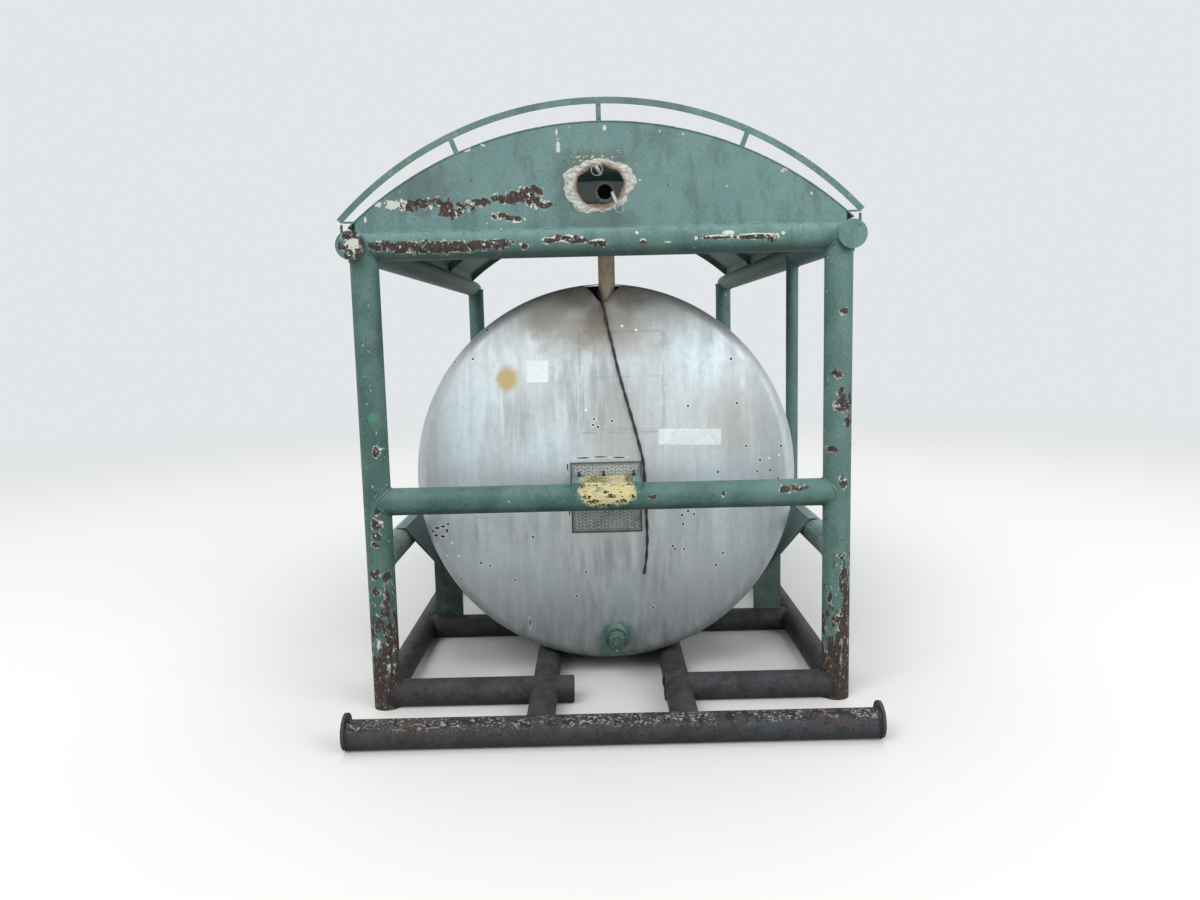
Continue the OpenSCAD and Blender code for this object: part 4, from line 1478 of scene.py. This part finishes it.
    def crust(self) -> None:
        """A crumbly lip of plaster round the hole.

        It is a ring on two parameters, the angle a and the way s across it. Its inner edge hangs over the
        torn hole by about a fifth, and by more at the top. Its outer edge is the hole's radius times a factor
        that is least at the top and wanders with sines of 3, 7, 16 and 29 waves. It stands proud by the root
        of 4 s (1 - s), with lumps of 9, 17 and 31 waves.
        """
        turns, across = 220, 15
        a = np.linspace(0, 2 * np.pi, turns, endpoint=False)[:, None]
        s = np.linspace(0, 1, across)[None, :]
        hole = self.torn(a)
        inner = hole * (0.81 - 0.08 * np.sin(a))
        slow = 0.10 * np.sin(3 * a + 1) + 0.07 * np.sin(7 * a + 2)
        quick = 0.09 * np.sin(16 * a) + 0.08 * np.sin(29 * a + 1)
        narrow = 0.04 * np.cos(a) + 0.18 * np.clip(np.sin(a), 0, 1) ** 2
        outer = hole * (1.25 - narrow + 0.2 * (slow + quick))
        radius = inner + (outer - inner) * s
        large = 0.35 * np.sin(9 * a + 5 * s) + 0.3 * np.sin(17 * a - 7 * s)
        lumps = 1 + large + 0.25 * np.sin(31 * a + 11 * s)
        hump = self.crust_hump * np.sqrt(np.clip(4 * s * (1 - s), 0, 1)) * lumps
        wide, tall = self.crust_stretch
        x = wide * radius * np.cos(a)
        z = self.vent_z + tall * radius * np.sin(a)
        proud, behind = self.crust_sides
        front = np.stack([x, self.plate_y - proud - hump, z], -1)
        back = np.stack([x, np.full_like(x, self.plate_y + behind), z], -1)[:, ::-1]
        ring = Skin(np.concatenate([front, back], 1), ring=True, loop=True)
        new_object("vent_crust", joined("vent_crust", [ring]), PlasterCrust().mix())


@dataclass
class Jacket:
    """The insulated tank's aluminium jacket: its shell and two dished heads.

    A seam is its half width and half thickness, and a rivet its radius and height. The rivets stand on the
    knuckle, leaning by so many degrees from straight out to the head, at the first, last and step of
    rivet_turns. Glue is the gap behind a stuck sheet. The sticker and the strip are the left, top, right and
    bottom of each, in pixels.
    """

    crown: Round = Seat.HEAD.value
    radius: float = 0.850
    rim_y: float = -1.390
    knuckle: float = 0.070
    axis_z: float = 0.930
    lap_y: float = 0.470
    seam: tuple[float, float] = (6 * MM, 2.2 * MM)
    rivet: tuple[float, float] = (4.2 * MM, 2 * MM)
    rivet_lean: float = 35.0
    rivet_turns: tuple[int, int, int] = (6, 366, 15)
    glue: float = 0.05 * MM

    STICKER = (526.5, 360.5, 548.5, 382.5)
    STRIP = (658.5, 428.5, 721, 444.5)

    SOOT = (Mark(606, 292, 34, 15), Mark(598, 318, 14, 26), Mark(636, 300, 30, 14), Mark(575, 300, 26, 14))
    TAN = (Mark(545, 318, 26, 24), Mark(600, 330, 60, 34))
    # PALE marks are painted reflections of the sky on the head.
    PALE = (Mark(470, 430, 44, 90), Mark(540, 450, 60, 34), Mark(700, 350, 44, 70), Mark(720, 470, 60, 20))
    WARM = (Mark(735, 420, 40, 50), Mark(620, 430, 40, 70))
    YELLOW = (Mark(507, 379, 11.5, 13.5),)
    PITS = tuple(Mark(x, y, 1.3, 1.3) for x, y in (
        (473, 359), (487, 330), (455, 362), (737, 403), (688, 406), (746, 446), (781, 446), (731, 359),
        (673, 546), (684, 549), (723, 553), (716, 565), (653, 607), (533, 537), (481, 563), (490, 566),
        (515, 580), (586, 572), (461, 579), (577, 596), (448, 524), (682, 515), (688, 511), (694, 514),
        (683, 524), (594, 419), (593, 425), (598, 427), (612, 421), (760, 460), (778, 478), (770, 470),
        (757, 471), (718, 472), (675, 549))) + (
            Mark(437, 528, 3, 1.3), Mark(443, 526.5, 2.4, 1.2), Mark(447, 531, 1.4, 2.4),
            Mark(443, 536.5, 2.6, 1.3), Mark(436, 535.5, 2.6, 1.2), Mark(432.5, 531.5, 1.3, 1.6),
            Mark(530, 623, 0.9, 5), Mark(583, 458, 7, 0.8), Mark(600, 457, 8, 0.7),
            Mark(619, 457.5, 7, 0.8), Mark(567.5, 467, 0.8, 4), Mark(588, 528.6, 6, 0.8),
            Mark(606, 528.2, 5, 0.6), Mark(622, 527.6, 5, 0.8), Mark(569.5, 512, 0.7, 5))
    WHITE = tuple(Mark(x, y, 1.5, 1.5) for x, y in (
        (622, 326), (636, 330), (779, 455), (769, 458), (448, 507), (452, 543), (447, 556), (459, 556),
        (586, 410)))
    RUNS = (
        Mark(597, 590, 30, 55), Mark(600, 560, 60, 30), Mark(585, 390, 50, 70), Mark(510, 420, 30, 40),
        Mark(655, 570, 26, 50))
    GHOSTS = (Mark(622, 382, 42, 50), Mark(623, 403, 40, 26), Mark(501, 530, 26, 13), Mark(622, 345, 38, 3))
    GREEN = (Mark(611, 648, 14, 10), Mark(604, 655, 4, 8), Mark(622, 656, 5, 8), Mark(618, 635, 18, 16))

    def build(self) -> None:
        """Dresses the shell and heads and adds the seam, rivets, sticker and pale strip."""
        def on(marks: Sequence[Mark]) -> tuple[Blob, ...]:
            """Marks as ellipsoids on the head."""
            return PHOTO.blobs(Seat.HEAD, marks)

        front = JacketAluminium(
            "head_aluminium", speckled=0.18, soot=on(self.SOOT), tan=on(self.TAN), pale=on(self.PALE),
            warm=on(self.WARM), yellow=on(self.YELLOW), pits=on(self.PITS), white=on(self.WHITE),
            runs=on(self.RUNS), ghosts=on(self.GHOSTS), green=on(self.GREEN)).mix()
        plain = JacketAluminium().mix()
        paint_nodes(["front_head"], front)
        paint_nodes(["tank_shell", "rear_head"], plain)
        # Red-brown primer in the dark of the insulation space, matt, with darker stains.
        paint_nodes(["pressure_vessel", "spacer_rings"], PlainCoat(
            "vessel_primer", "#43302a", "#2f2522", "#5c4136", 0.8).mix())
        self.seams(plain)
        self.rivets(plain)
        self.sheets()

    def seams(self, paint: Paint) -> None:
        """Rolled lap seams round the jacket, at both heads and between its sheets.

        Each is a flattened round profile carried along the circle of the jacket.

        Args:
            paint: Their material.
        """
        a = np.linspace(0, 2 * np.pi, 240, endpoint=False)
        out = np.stack([np.cos(a), np.zeros_like(a), np.sin(a)], -1)
        flat = circle(1.0, 10) * np.array(self.seam)
        skins = []
        for y in (self.rim_y, -self.lap_y, self.lap_y, -self.rim_y):
            path = np.array([0, y, self.axis_z]) + self.radius * out
            skins.append(sweep(path, out, flat, loop=True))
        new_object("jacket_seams", joined("jacket_seams", skins), paint)

    def rivets(self, paint: Paint) -> None:
        """Domed rivets round the knuckle of each head.

        Args:
            paint: Their material.
        """
        lean = math.radians(self.rivet_lean)
        domes = []
        for end in (-1, 1):
            middle = np.array([0, -end * self.rim_y, self.axis_z])
            for angle in np.radians(np.arange(*self.rivet_turns)):
                way = np.array([math.cos(angle), 0, math.sin(angle)])
                normal = way * math.cos(lean) + np.array([0, end * math.sin(lean), 0])
                seat = middle + way * (self.radius - self.knuckle) + normal * self.knuckle
                domes.append(self.dome(seat, normal, *self.rivet))
        new_object("head_rivets", joined("head_rivets", domes), paint)

    @staticmethod
    def dome(seat: np.ndarray, normal: np.ndarray, radius: float, height: float) -> Skin:
        """Small dome whose height is (1 - q squared) times its own, q being the way out from its middle.

        A skirt goes down from its edge, so that it stands on a curved surface without a gap.

        Args:
            seat: Its foot's middle.
            normal: The way that it stands.
            radius: Its radius.
            height: Its height.

        Returns:
            The dome.
        """
        side = unit(np.cross(normal, (0.1, 0.2, 0.97)))
        other = np.cross(normal, side)
        q = np.array([1.0, 1.0, 0.85, 0.6, 0.3, 0.02])[:, None, None]
        skirt = np.array([1.2 * MM, 0, 0, 0, 0, 0])[:, None, None]
        lift = height * (1 - q ** 2) - skirt
        a = np.linspace(0, 2 * np.pi, 12, endpoint=False)[None, :, None]
        points = seat + radius * q * (np.cos(a) * side + np.sin(a) * other) + lift * normal
        return Skin(points[:, ::-1])

    def on_crown(self, x: np.ndarray, z: np.ndarray, proud: float) -> np.ndarray:
        """Points of the head's ball, y = centre - root of (radius squared - x squared - z squared).

        Args:
            x: Their x.
            z: Their z.
            proud: How far outside the ball they lie.

        Returns:
            The points.
        """
        cx, cy, cz = self.crown.centre
        reach = self.crown.radius + proud
        return np.stack([x, cy - np.sqrt(reach ** 2 - (x - cx) ** 2 - (z - cz) ** 2), z], -1)

    def patch(self, name: str, corners: tuple[float, float, float, float], proud: float, paint: Paint,
              curl: float = 0.0) -> None:
        """A thin sheet stuck on the head: x and z run over a rectangle and y follows the ball.

        Args:
            name: The piece's name.
            corners: Left, top, right and bottom of it, in pixels.
            proud: Its thickness.
            paint: Its material.
            curl: How far its lower right corner has come away; the lift grows with the fourth power.
        """
        left, top, right, bottom = corners
        ends = ((left, bottom), (right, bottom), (right, top), (left, top))
        spots = [PHOTO.onto(Seat.HEAD, px, py) for px, py in ends]
        u, v = np.meshgrid(np.linspace(0, 1, 24), np.linspace(0, 1, 24), indexing="ij")
        shares = ((1 - u) * (1 - v), u * (1 - v), u * v, (1 - u) * v)
        flat = sum(share[..., None] * spot for share, spot in zip(shares, spots))
        lift = curl * (u * (1 - v)) ** 4
        front = self.on_crown(flat[..., 0], flat[..., 2], proud)
        front[..., 1] -= lift
        back = self.on_crown(flat[..., 0], flat[..., 2], self.glue)
        back[..., 1] -= lift
        sheet = Skin(np.concatenate([front, back[:, ::-1]], 1), ring=True)
        new_object(name, joined(name, [sheet], smooth=False), paint)

    def sheets(self) -> None:
        """The blank sticker, with one corner come away, and the pale strip where an old plate was."""
        # Printed vinyl with its print left out: cool, nearly white, smoother than what is round it.
        vinyl = PlainCoat("sticker_vinyl", "#edf3f6", "#e4ecf0", "#d6dfe4", 0.35, size=18, relief=0.0).mix()
        self.patch("blank_sticker", self.STICKER, 0.5 * MM, vinyl, 2 * MM)
        # Tape left behind: pale with a green cast, dull and thin.
        tape = PlainCoat("strip_tape", "#e4eeee", "#d9e3e2", "#c6d0ce", 0.5, size=34, relief=0.0).mix()
        self.patch("pale_strip", self.STRIP, 0.3 * MM, tape)


@dataclass
class Step:
    """The checkered plate on the head and the pad that is stood on.

    Low and high are the plate's corners, and margin is where its lozenges start and end inside them. A
    lozenge is its half length, half width and height, and plate_proud is how far outside the head's ball its
    foot lies. A stud is its radii and heights in millimetres, from its nut's foot to its thread's end.
    Pad_depth is the half size along Y of the pad's marks.
    """

    low: Vec = (-0.156, 0.0, 0.700)
    high: Vec = (0.152, 0.0, 1.012)
    # Real checkered plate is finer than this and would not show, so its pattern is drawn coarser.
    pitch: tuple[float, float] = (16.5 * MM, 15 * MM)
    margin: tuple[float, float] = (22 * MM, 14 * MM)
    lozenge: Vec = (10.5 * MM, 2.3 * MM, 2.0 * MM)
    plate_proud: float = 6.0 * MM
    pad_top: float = 0.9565
    stud_y: float = -1.585
    stud_x: Vec = (-0.118, -0.012, 0.118)
    stud_radii: tuple[float, ...] = (8.5, 8.5, 5.0, 5.0, 4.0)
    stud_heights: tuple[float, ...] = (-1.0, 8.0, 8.0, 20.0, 21.0)
    pad_depth: float = 0.16

    PAD_YELLOW = (Mark(598, 480, 18, 6), Mark(620, 480, 15, 6), Mark(610, 486, 24, 8))
    PAD_BARE = (
        Mark(598, 476.5, 16, 0.7), Mark(612, 478.8, 20, 0.6), Mark(596, 481, 14, 0.6),
        Mark(622, 476, 8, 0.6), Mark(584, 479, 4, 1.6), Mark(630, 480, 5, 1.2), Mark(606, 483, 16, 0.5))

    def build(self) -> None:
        """Dresses the plate and pad and adds the tread's lozenges and three studs."""
        tread = TreadAluminium().mix()
        paint_nodes(["tread_plate"], tread)
        pad = FadedEnamel(
            "pad_enamel", deep="#3c5a54", chalky="#55746e",
            yellow=PHOTO.blobs(Seat.BAR, self.PAD_YELLOW, self.pad_depth),
            bare=PHOTO.blobs(Seat.BAR, self.PAD_BARE, self.pad_depth)).mix()
        paint_nodes(["step_pad"], pad)
        # The lozenges' tops are painted brighter than the dull plate between them: partly rubbed bright by
        # boots, partly a painted highlight for the light that their raised tops catch.
        self.lozenges(PlainCoat("worn_highlit_lozenges", "#ccd2d1", "#b4bab8", "#8b908f", 0.4, 0.6, 40, 0.0).mix())
        # Blackened steel with brown in its threads.
        dark = PlainCoat("stud_steel", "#2b2f30", "#3d3a37", "#55493f", 0.6, 0.6, 8).mix()
        studs = [self.stud(x) for x in self.stud_x]
        new_object("pad_studs", joined("pad_studs", studs), dark)

    def lozenges(self, paint: Paint) -> None:
        """Raised lozenges of the checkered plate.

        Each is a mound over a turned ellipse: its height times (1 - q squared) to the power 0.7, at q half
        sizes from its middle. It is turned by 45 degrees, one way and the other from column to column, which
        gives rows of chevrons.

        Args:
            paint: Their material.
        """
        first, last = self.margin
        xs = np.arange(self.low[0] + first, self.high[0] - last, self.pitch[0])
        zs = np.arange(self.low[2] + first, self.high[2] - last, self.pitch[1])
        long, wide, tall = self.lozenge
        head = Jacket()
        q = np.array([1.0, 0.8, 0.5, 0.03])[:, None]
        a = np.linspace(0, 2 * np.pi, 10, endpoint=False)[None, :]
        u = long * q * np.cos(a)
        v = wide * q * np.sin(a)
        w = np.broadcast_to(tall * (1 - q ** 2) ** 0.7, u.shape)
        skins = []
        for i, x in enumerate(xs):
            turn = math.radians(45 if i % 2 else -45)
            px = x + u * math.cos(turn) - v * math.sin(turn)
            rise = u * math.sin(turn) + v * math.cos(turn)
            for z in zs:
                grid = head.on_crown(px, z + rise, self.plate_proud)
                grid[..., 1] -= w
                skins.append(Skin(grid[:, ::-1]))
        new_object("tread_lozenges", joined("tread_lozenges", skins), paint)

    def stud(self, x: float) -> Skin:
        """A stud with its nut: a stepped profile of radius against height, revolved on twelve sides.

        Args:
            x: Where it stands along the pad.

        Returns:
            The stud.
        """
        radius = np.array(self.stud_radii)[:, None, None] * MM
        height = np.array(self.stud_heights)[:, None, None] * MM
        a = np.linspace(0, 2 * np.pi, 12, endpoint=False)
        ring = np.stack([np.cos(a), np.sin(a), 0 * a], -1)
        foot = np.array([x, self.stud_y, self.pad_top])
        points = foot + radius * ring + height * np.array([0, 0, 1.0])
        return Skin(points[:, ::-1])


@dataclass(frozen=True)
class CamArm:
    """One cam arm and its pull ring: where its bend, its end and the ring's middle show, in pixels.

    Ring is the pull ring's radius.
    """

    name: str
    bend: Pixel
    tip: Pixel
    hub: Pixel
    ring: float


@dataclass
class Outlet:
    """The standpipe, its elbow and the open coupler with two cam arms that shows in the vent hole.

    Half is an arm's half thickness and half width, and wire the radius of the pull rings' wire.
    """

    half: tuple[float, float] = (3 * MM, 6.5 * MM)
    wire: float = 1.3 * MM
    arms: tuple[CamArm, ...] = (
        CamArm("upper_cam_arm", (600.5, 174), (595.8, 165.8), (596.8, 169.8), 22 * MM),
        CamArm("lower_cam_arm", (612.2, 192.5), (617.6, 205), (619.6, 208.3), 16.5 * MM))

    def build(self) -> None:
        """Dresses the pipe and elbow and adds the coupler's arms and their pull rings."""
        paint_nodes(["standpipe"], TanPrimer().mix())
        paint_nodes(["outlet_elbow"], BurntSteel().mix())
        # Cast aluminium, sand-rough and dulled: a plain pale grey.
        cast = PlainCoat("arm_aluminium", "#b3b8b8", "#a4a9a8", "#7c7e7b", 0.5, 0.0, 12).mix()
        for arm in self.arms:
            self.lay_arm(arm, cast)

    def lay_arm(self, arm: CamArm, paint: Paint) -> None:
        """One cam arm and its pull ring.

        The arm runs forward from the coupler's mouth and then bends along the plate's face from bend to tip.
        Its profile is a rounded rectangle: the roots of a circle's cosine and sine times its half sizes.
        The ring is a circle of wire round its middle.

        Args:
            arm: The arm's places and the ring's radius.
            paint: Its material.
        """
        bend, end, hub = (PHOTO.onto(Seat.LIP, *pixel) for pixel in (arm.bend, arm.tip, arm.hub))
        start = PHOTO.onto(Seat.MOUTH, *arm.bend)
        front = np.array([0, -1.0, 0])
        out = unit(end - bend)
        across = np.cross(out, front)
        knots = (start, 0.2 * start + 0.8 * bend, 0.5 * (bend + end), end)
        path = smooth_path([tuple(knot) for knot in knots], 6 * MM)
        b = np.linspace(0, 2 * np.pi, 16, endpoint=False)
        turn = np.stack([np.cos(b), np.sin(b)], -1)
        flat = np.sign(turn) * np.abs(turn) ** 0.5 * np.array(self.half)
        c = np.linspace(0, 2 * np.pi, 48, endpoint=False)[:, None]
        ring = hub + arm.ring * (np.cos(c) * out + np.sin(c) * across)
        skins = [sweep(path, across, flat), sweep(ring, front, circle(self.wire, 8), loop=True)]
        new_object(arm.name, joined(arm.name, skins), paint)


@dataclass
class Cable:
    """A black two-core cable that hangs from the port over the front head and ends cut off."""

    length: float = 1.41
    diameter: float = 0.014
    twist: float = 0.070
    route: tuple[Vec, ...] = (
        (-0.036, -1.345, 1.705), (-0.036, -1.347, 1.728), (-0.035, -1.357, 1.748), (-0.033, -1.375, 1.758),
        (-0.028, -1.398, 1.757), (-0.020, -1.424, 1.745), (-0.011, -1.449, 1.726), (-0.005, -1.467, 1.708),
        (0.002, -1.480, 1.684), (0.009, -1.486, 1.655), (0.017, -1.492, 1.610), (0.038, -1.509, 1.516),
        (0.063, -1.526, 1.400), (0.089, -1.538, 1.300), (0.112, -1.546, 1.215), (0.132, -1.552, 1.140),
        (0.150, -1.556, 1.065), (0.161, -1.558, 1.010), (0.166, -1.559, 0.937), (0.169, -1.560, 0.860),
        (0.171, -1.560, 0.784), (0.173, -1.560, 0.710), (0.172, -1.559, 0.641), (0.166, -1.556, 0.570),
        (0.157, -1.551, 0.508))

    def build(self) -> None:
        """Sweeps the cable along its route, in place of its plain solid.

        The profile is two cores side by side: a radius of 0.82 + 0.18 cos 2(b - w) times the cable's, where
        b is the angle round it and w grows by half a turn every twist.
        """
        path = smooth_path(self.route, 5 * MM)
        run = np.concatenate([[0], np.cumsum(np.linalg.norm(np.diff(path, axis=0), axis=1))])
        b = np.linspace(0, 2 * np.pi, 20, endpoint=False)[None, :]
        w = (np.pi * run / self.twist)[:, None]
        size = self.diameter / 2 * (0.82 + 0.18 * np.cos(2 * (b - w)))
        outline = np.stack([size * np.cos(b), size * np.sin(b)], -1)
        tube = sweep(path, np.array([0.2, -1.0, 0.25]), outline)
        # Rubber sheath: soft black with grey dust and a dull sheen along its ridges.
        sheath = PlainCoat("black_rubber", "#1d1f21", "#2a2c2e", "#3c3e3f", 0.55, size=12, relief=0.05).mix()
        piece = new_object("lead_cable", joined("lead_cable", [tube]), sheath)
        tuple(self.route[0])
        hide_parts("cable")


@dataclass(frozen=True)
class Softbox:
    """A square area lamp: its place, its side in metres and its power in watts."""

    name: str
    place: Vec
    size: float
    power: float

    def hang(self, target: Vec) -> None:
        """Hangs the lamp in its place with its face to a target.

        Args:
            target: The point that it looks at.
        """
        data = bpy.data.lights.new(self.name, "AREA")
        data.size = self.size
        data.energy = self.power
        lamp = bpy.data.objects.new(self.name, data)
        bpy.context.scene.collection.objects.link(lamp)
        lamp.location = self.place
        back = unit(np.array(self.place) - np.array(target))
        side = unit(np.cross((0, 0, 1), back))
        up = np.cross(back, side)
        matrix = np.eye(4)
        matrix[:3, :3] = np.stack([side, up, back], 1)
        matrix[:3, 3] = self.place
        lamp.matrix_world = Matrix(matrix.tolist())


@dataclass
class Studio:
    """A plain pale floor that fades into the backdrop, a pale sky and soft lamps.

    The eye sees floor_colour, and what the floor throws back as light has the darker bounce. Sky and backdrop
    are the world's strength as light and as it is seen.
    """

    floor_colour: str = "#dededb"
    bounce: str = "#7d7d7a"
    fades: tuple[float, float] = (3.0, 14.0)
    floor_half: float = 60.0
    sky_colour: str = "#eef1f3"
    sky: float = 0.7
    backdrop: float = 0.9
    target: Vec = (0.0, 0.0, 1.1)
    lamps: tuple[Softbox, ...] = (
        Softbox("key", (-6.0, -11.0, 11.0), 9.0, 1150.0),
        Softbox("fill", (9.0, -9.0, 7.0), 8.0, 720.0),
        Softbox("top", (0.0, 4.0, 12.0), 12.0, 900.0))

    def build(self) -> None:
        """Makes the floor, the world and three large soft lamps."""
        scene = bpy.context.scene
        scene.view_settings.view_transform = "Standard"
        corners = self.floor_half * np.array([[[-1, -1, 0], [-1, 1, 0]], [[1, -1, 0], [1, 1, 0]]])
        mesh = joined("floor", [Skin(corners[:, ::-1], ring=False)], smooth=False)
        floor = bpy.data.objects.new("floor", mesh)
        scene.collection.objects.link(floor)
        coat = Canvas("floor_paint", self.bounce, 0.95)
        coat.layer(self.seen(coat.tree), self.floor_colour)
        away = add(coat.tree, "ShaderNodeVectorMath", {0: coat.place}, operation="LENGTH").outputs["Value"]
        mesh.materials.append(coat.dry(0.0, coat.step(away, *self.fades)))
        world = bpy.data.worlds.new("studio")
        scene.world = world
        world.use_nodes = True
        tree = world.node_tree
        tree.nodes.clear()
        level = add(tree, "ShaderNodeMix", {0: self.seen(tree), 2: self.sky, 3: self.backdrop})
        back = add(tree, "ShaderNodeBackground", {"Color": linear(self.sky_colour), "Strength": level})
        add(tree, "ShaderNodeOutputWorld", {"Surface": back})
        for lamp in self.lamps:
            lamp.hang(self.target)

    @staticmethod
    def seen(tree: bpy.types.NodeTree) -> Socket:
        """Mask that is 1 for what is seen, straight, mirrored or through something, and 0 for what lights.

        Args:
            tree: The node tree that asks.

        Returns:
            The mask's socket.
        """
        path = add(tree, "ShaderNodeLightPath")
        direct = add(tree, "ShaderNodeMath", {
            0: path.outputs["Is Camera Ray"], 1: path.outputs["Is Glossy Ray"]}, operation="MAXIMUM")
        return add(tree, "ShaderNodeMath", {
            0: direct, 1: path.outputs["Is Transmission Ray"]}, operation="MAXIMUM").outputs[0]


def main() -> None:
    logging.basicConfig(level=logging.INFO, format="%(name)s: %(message)s")
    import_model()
    PHOTO.build()
    Cable().build()
    pipes = Pipework.read()
    green = PipeFrame(pipes)
    green.dress()
    green.weld(FadedEnamel("weld_enamel", deep="#38564f", chalky="#587a74").mix())
    Skid(pipes).build()
    Canopy(pipes).build()
    Jacket().build()
    Step().build()
    Outlet().build()
    Studio().build()


if __name__ == "__main__":
    main()
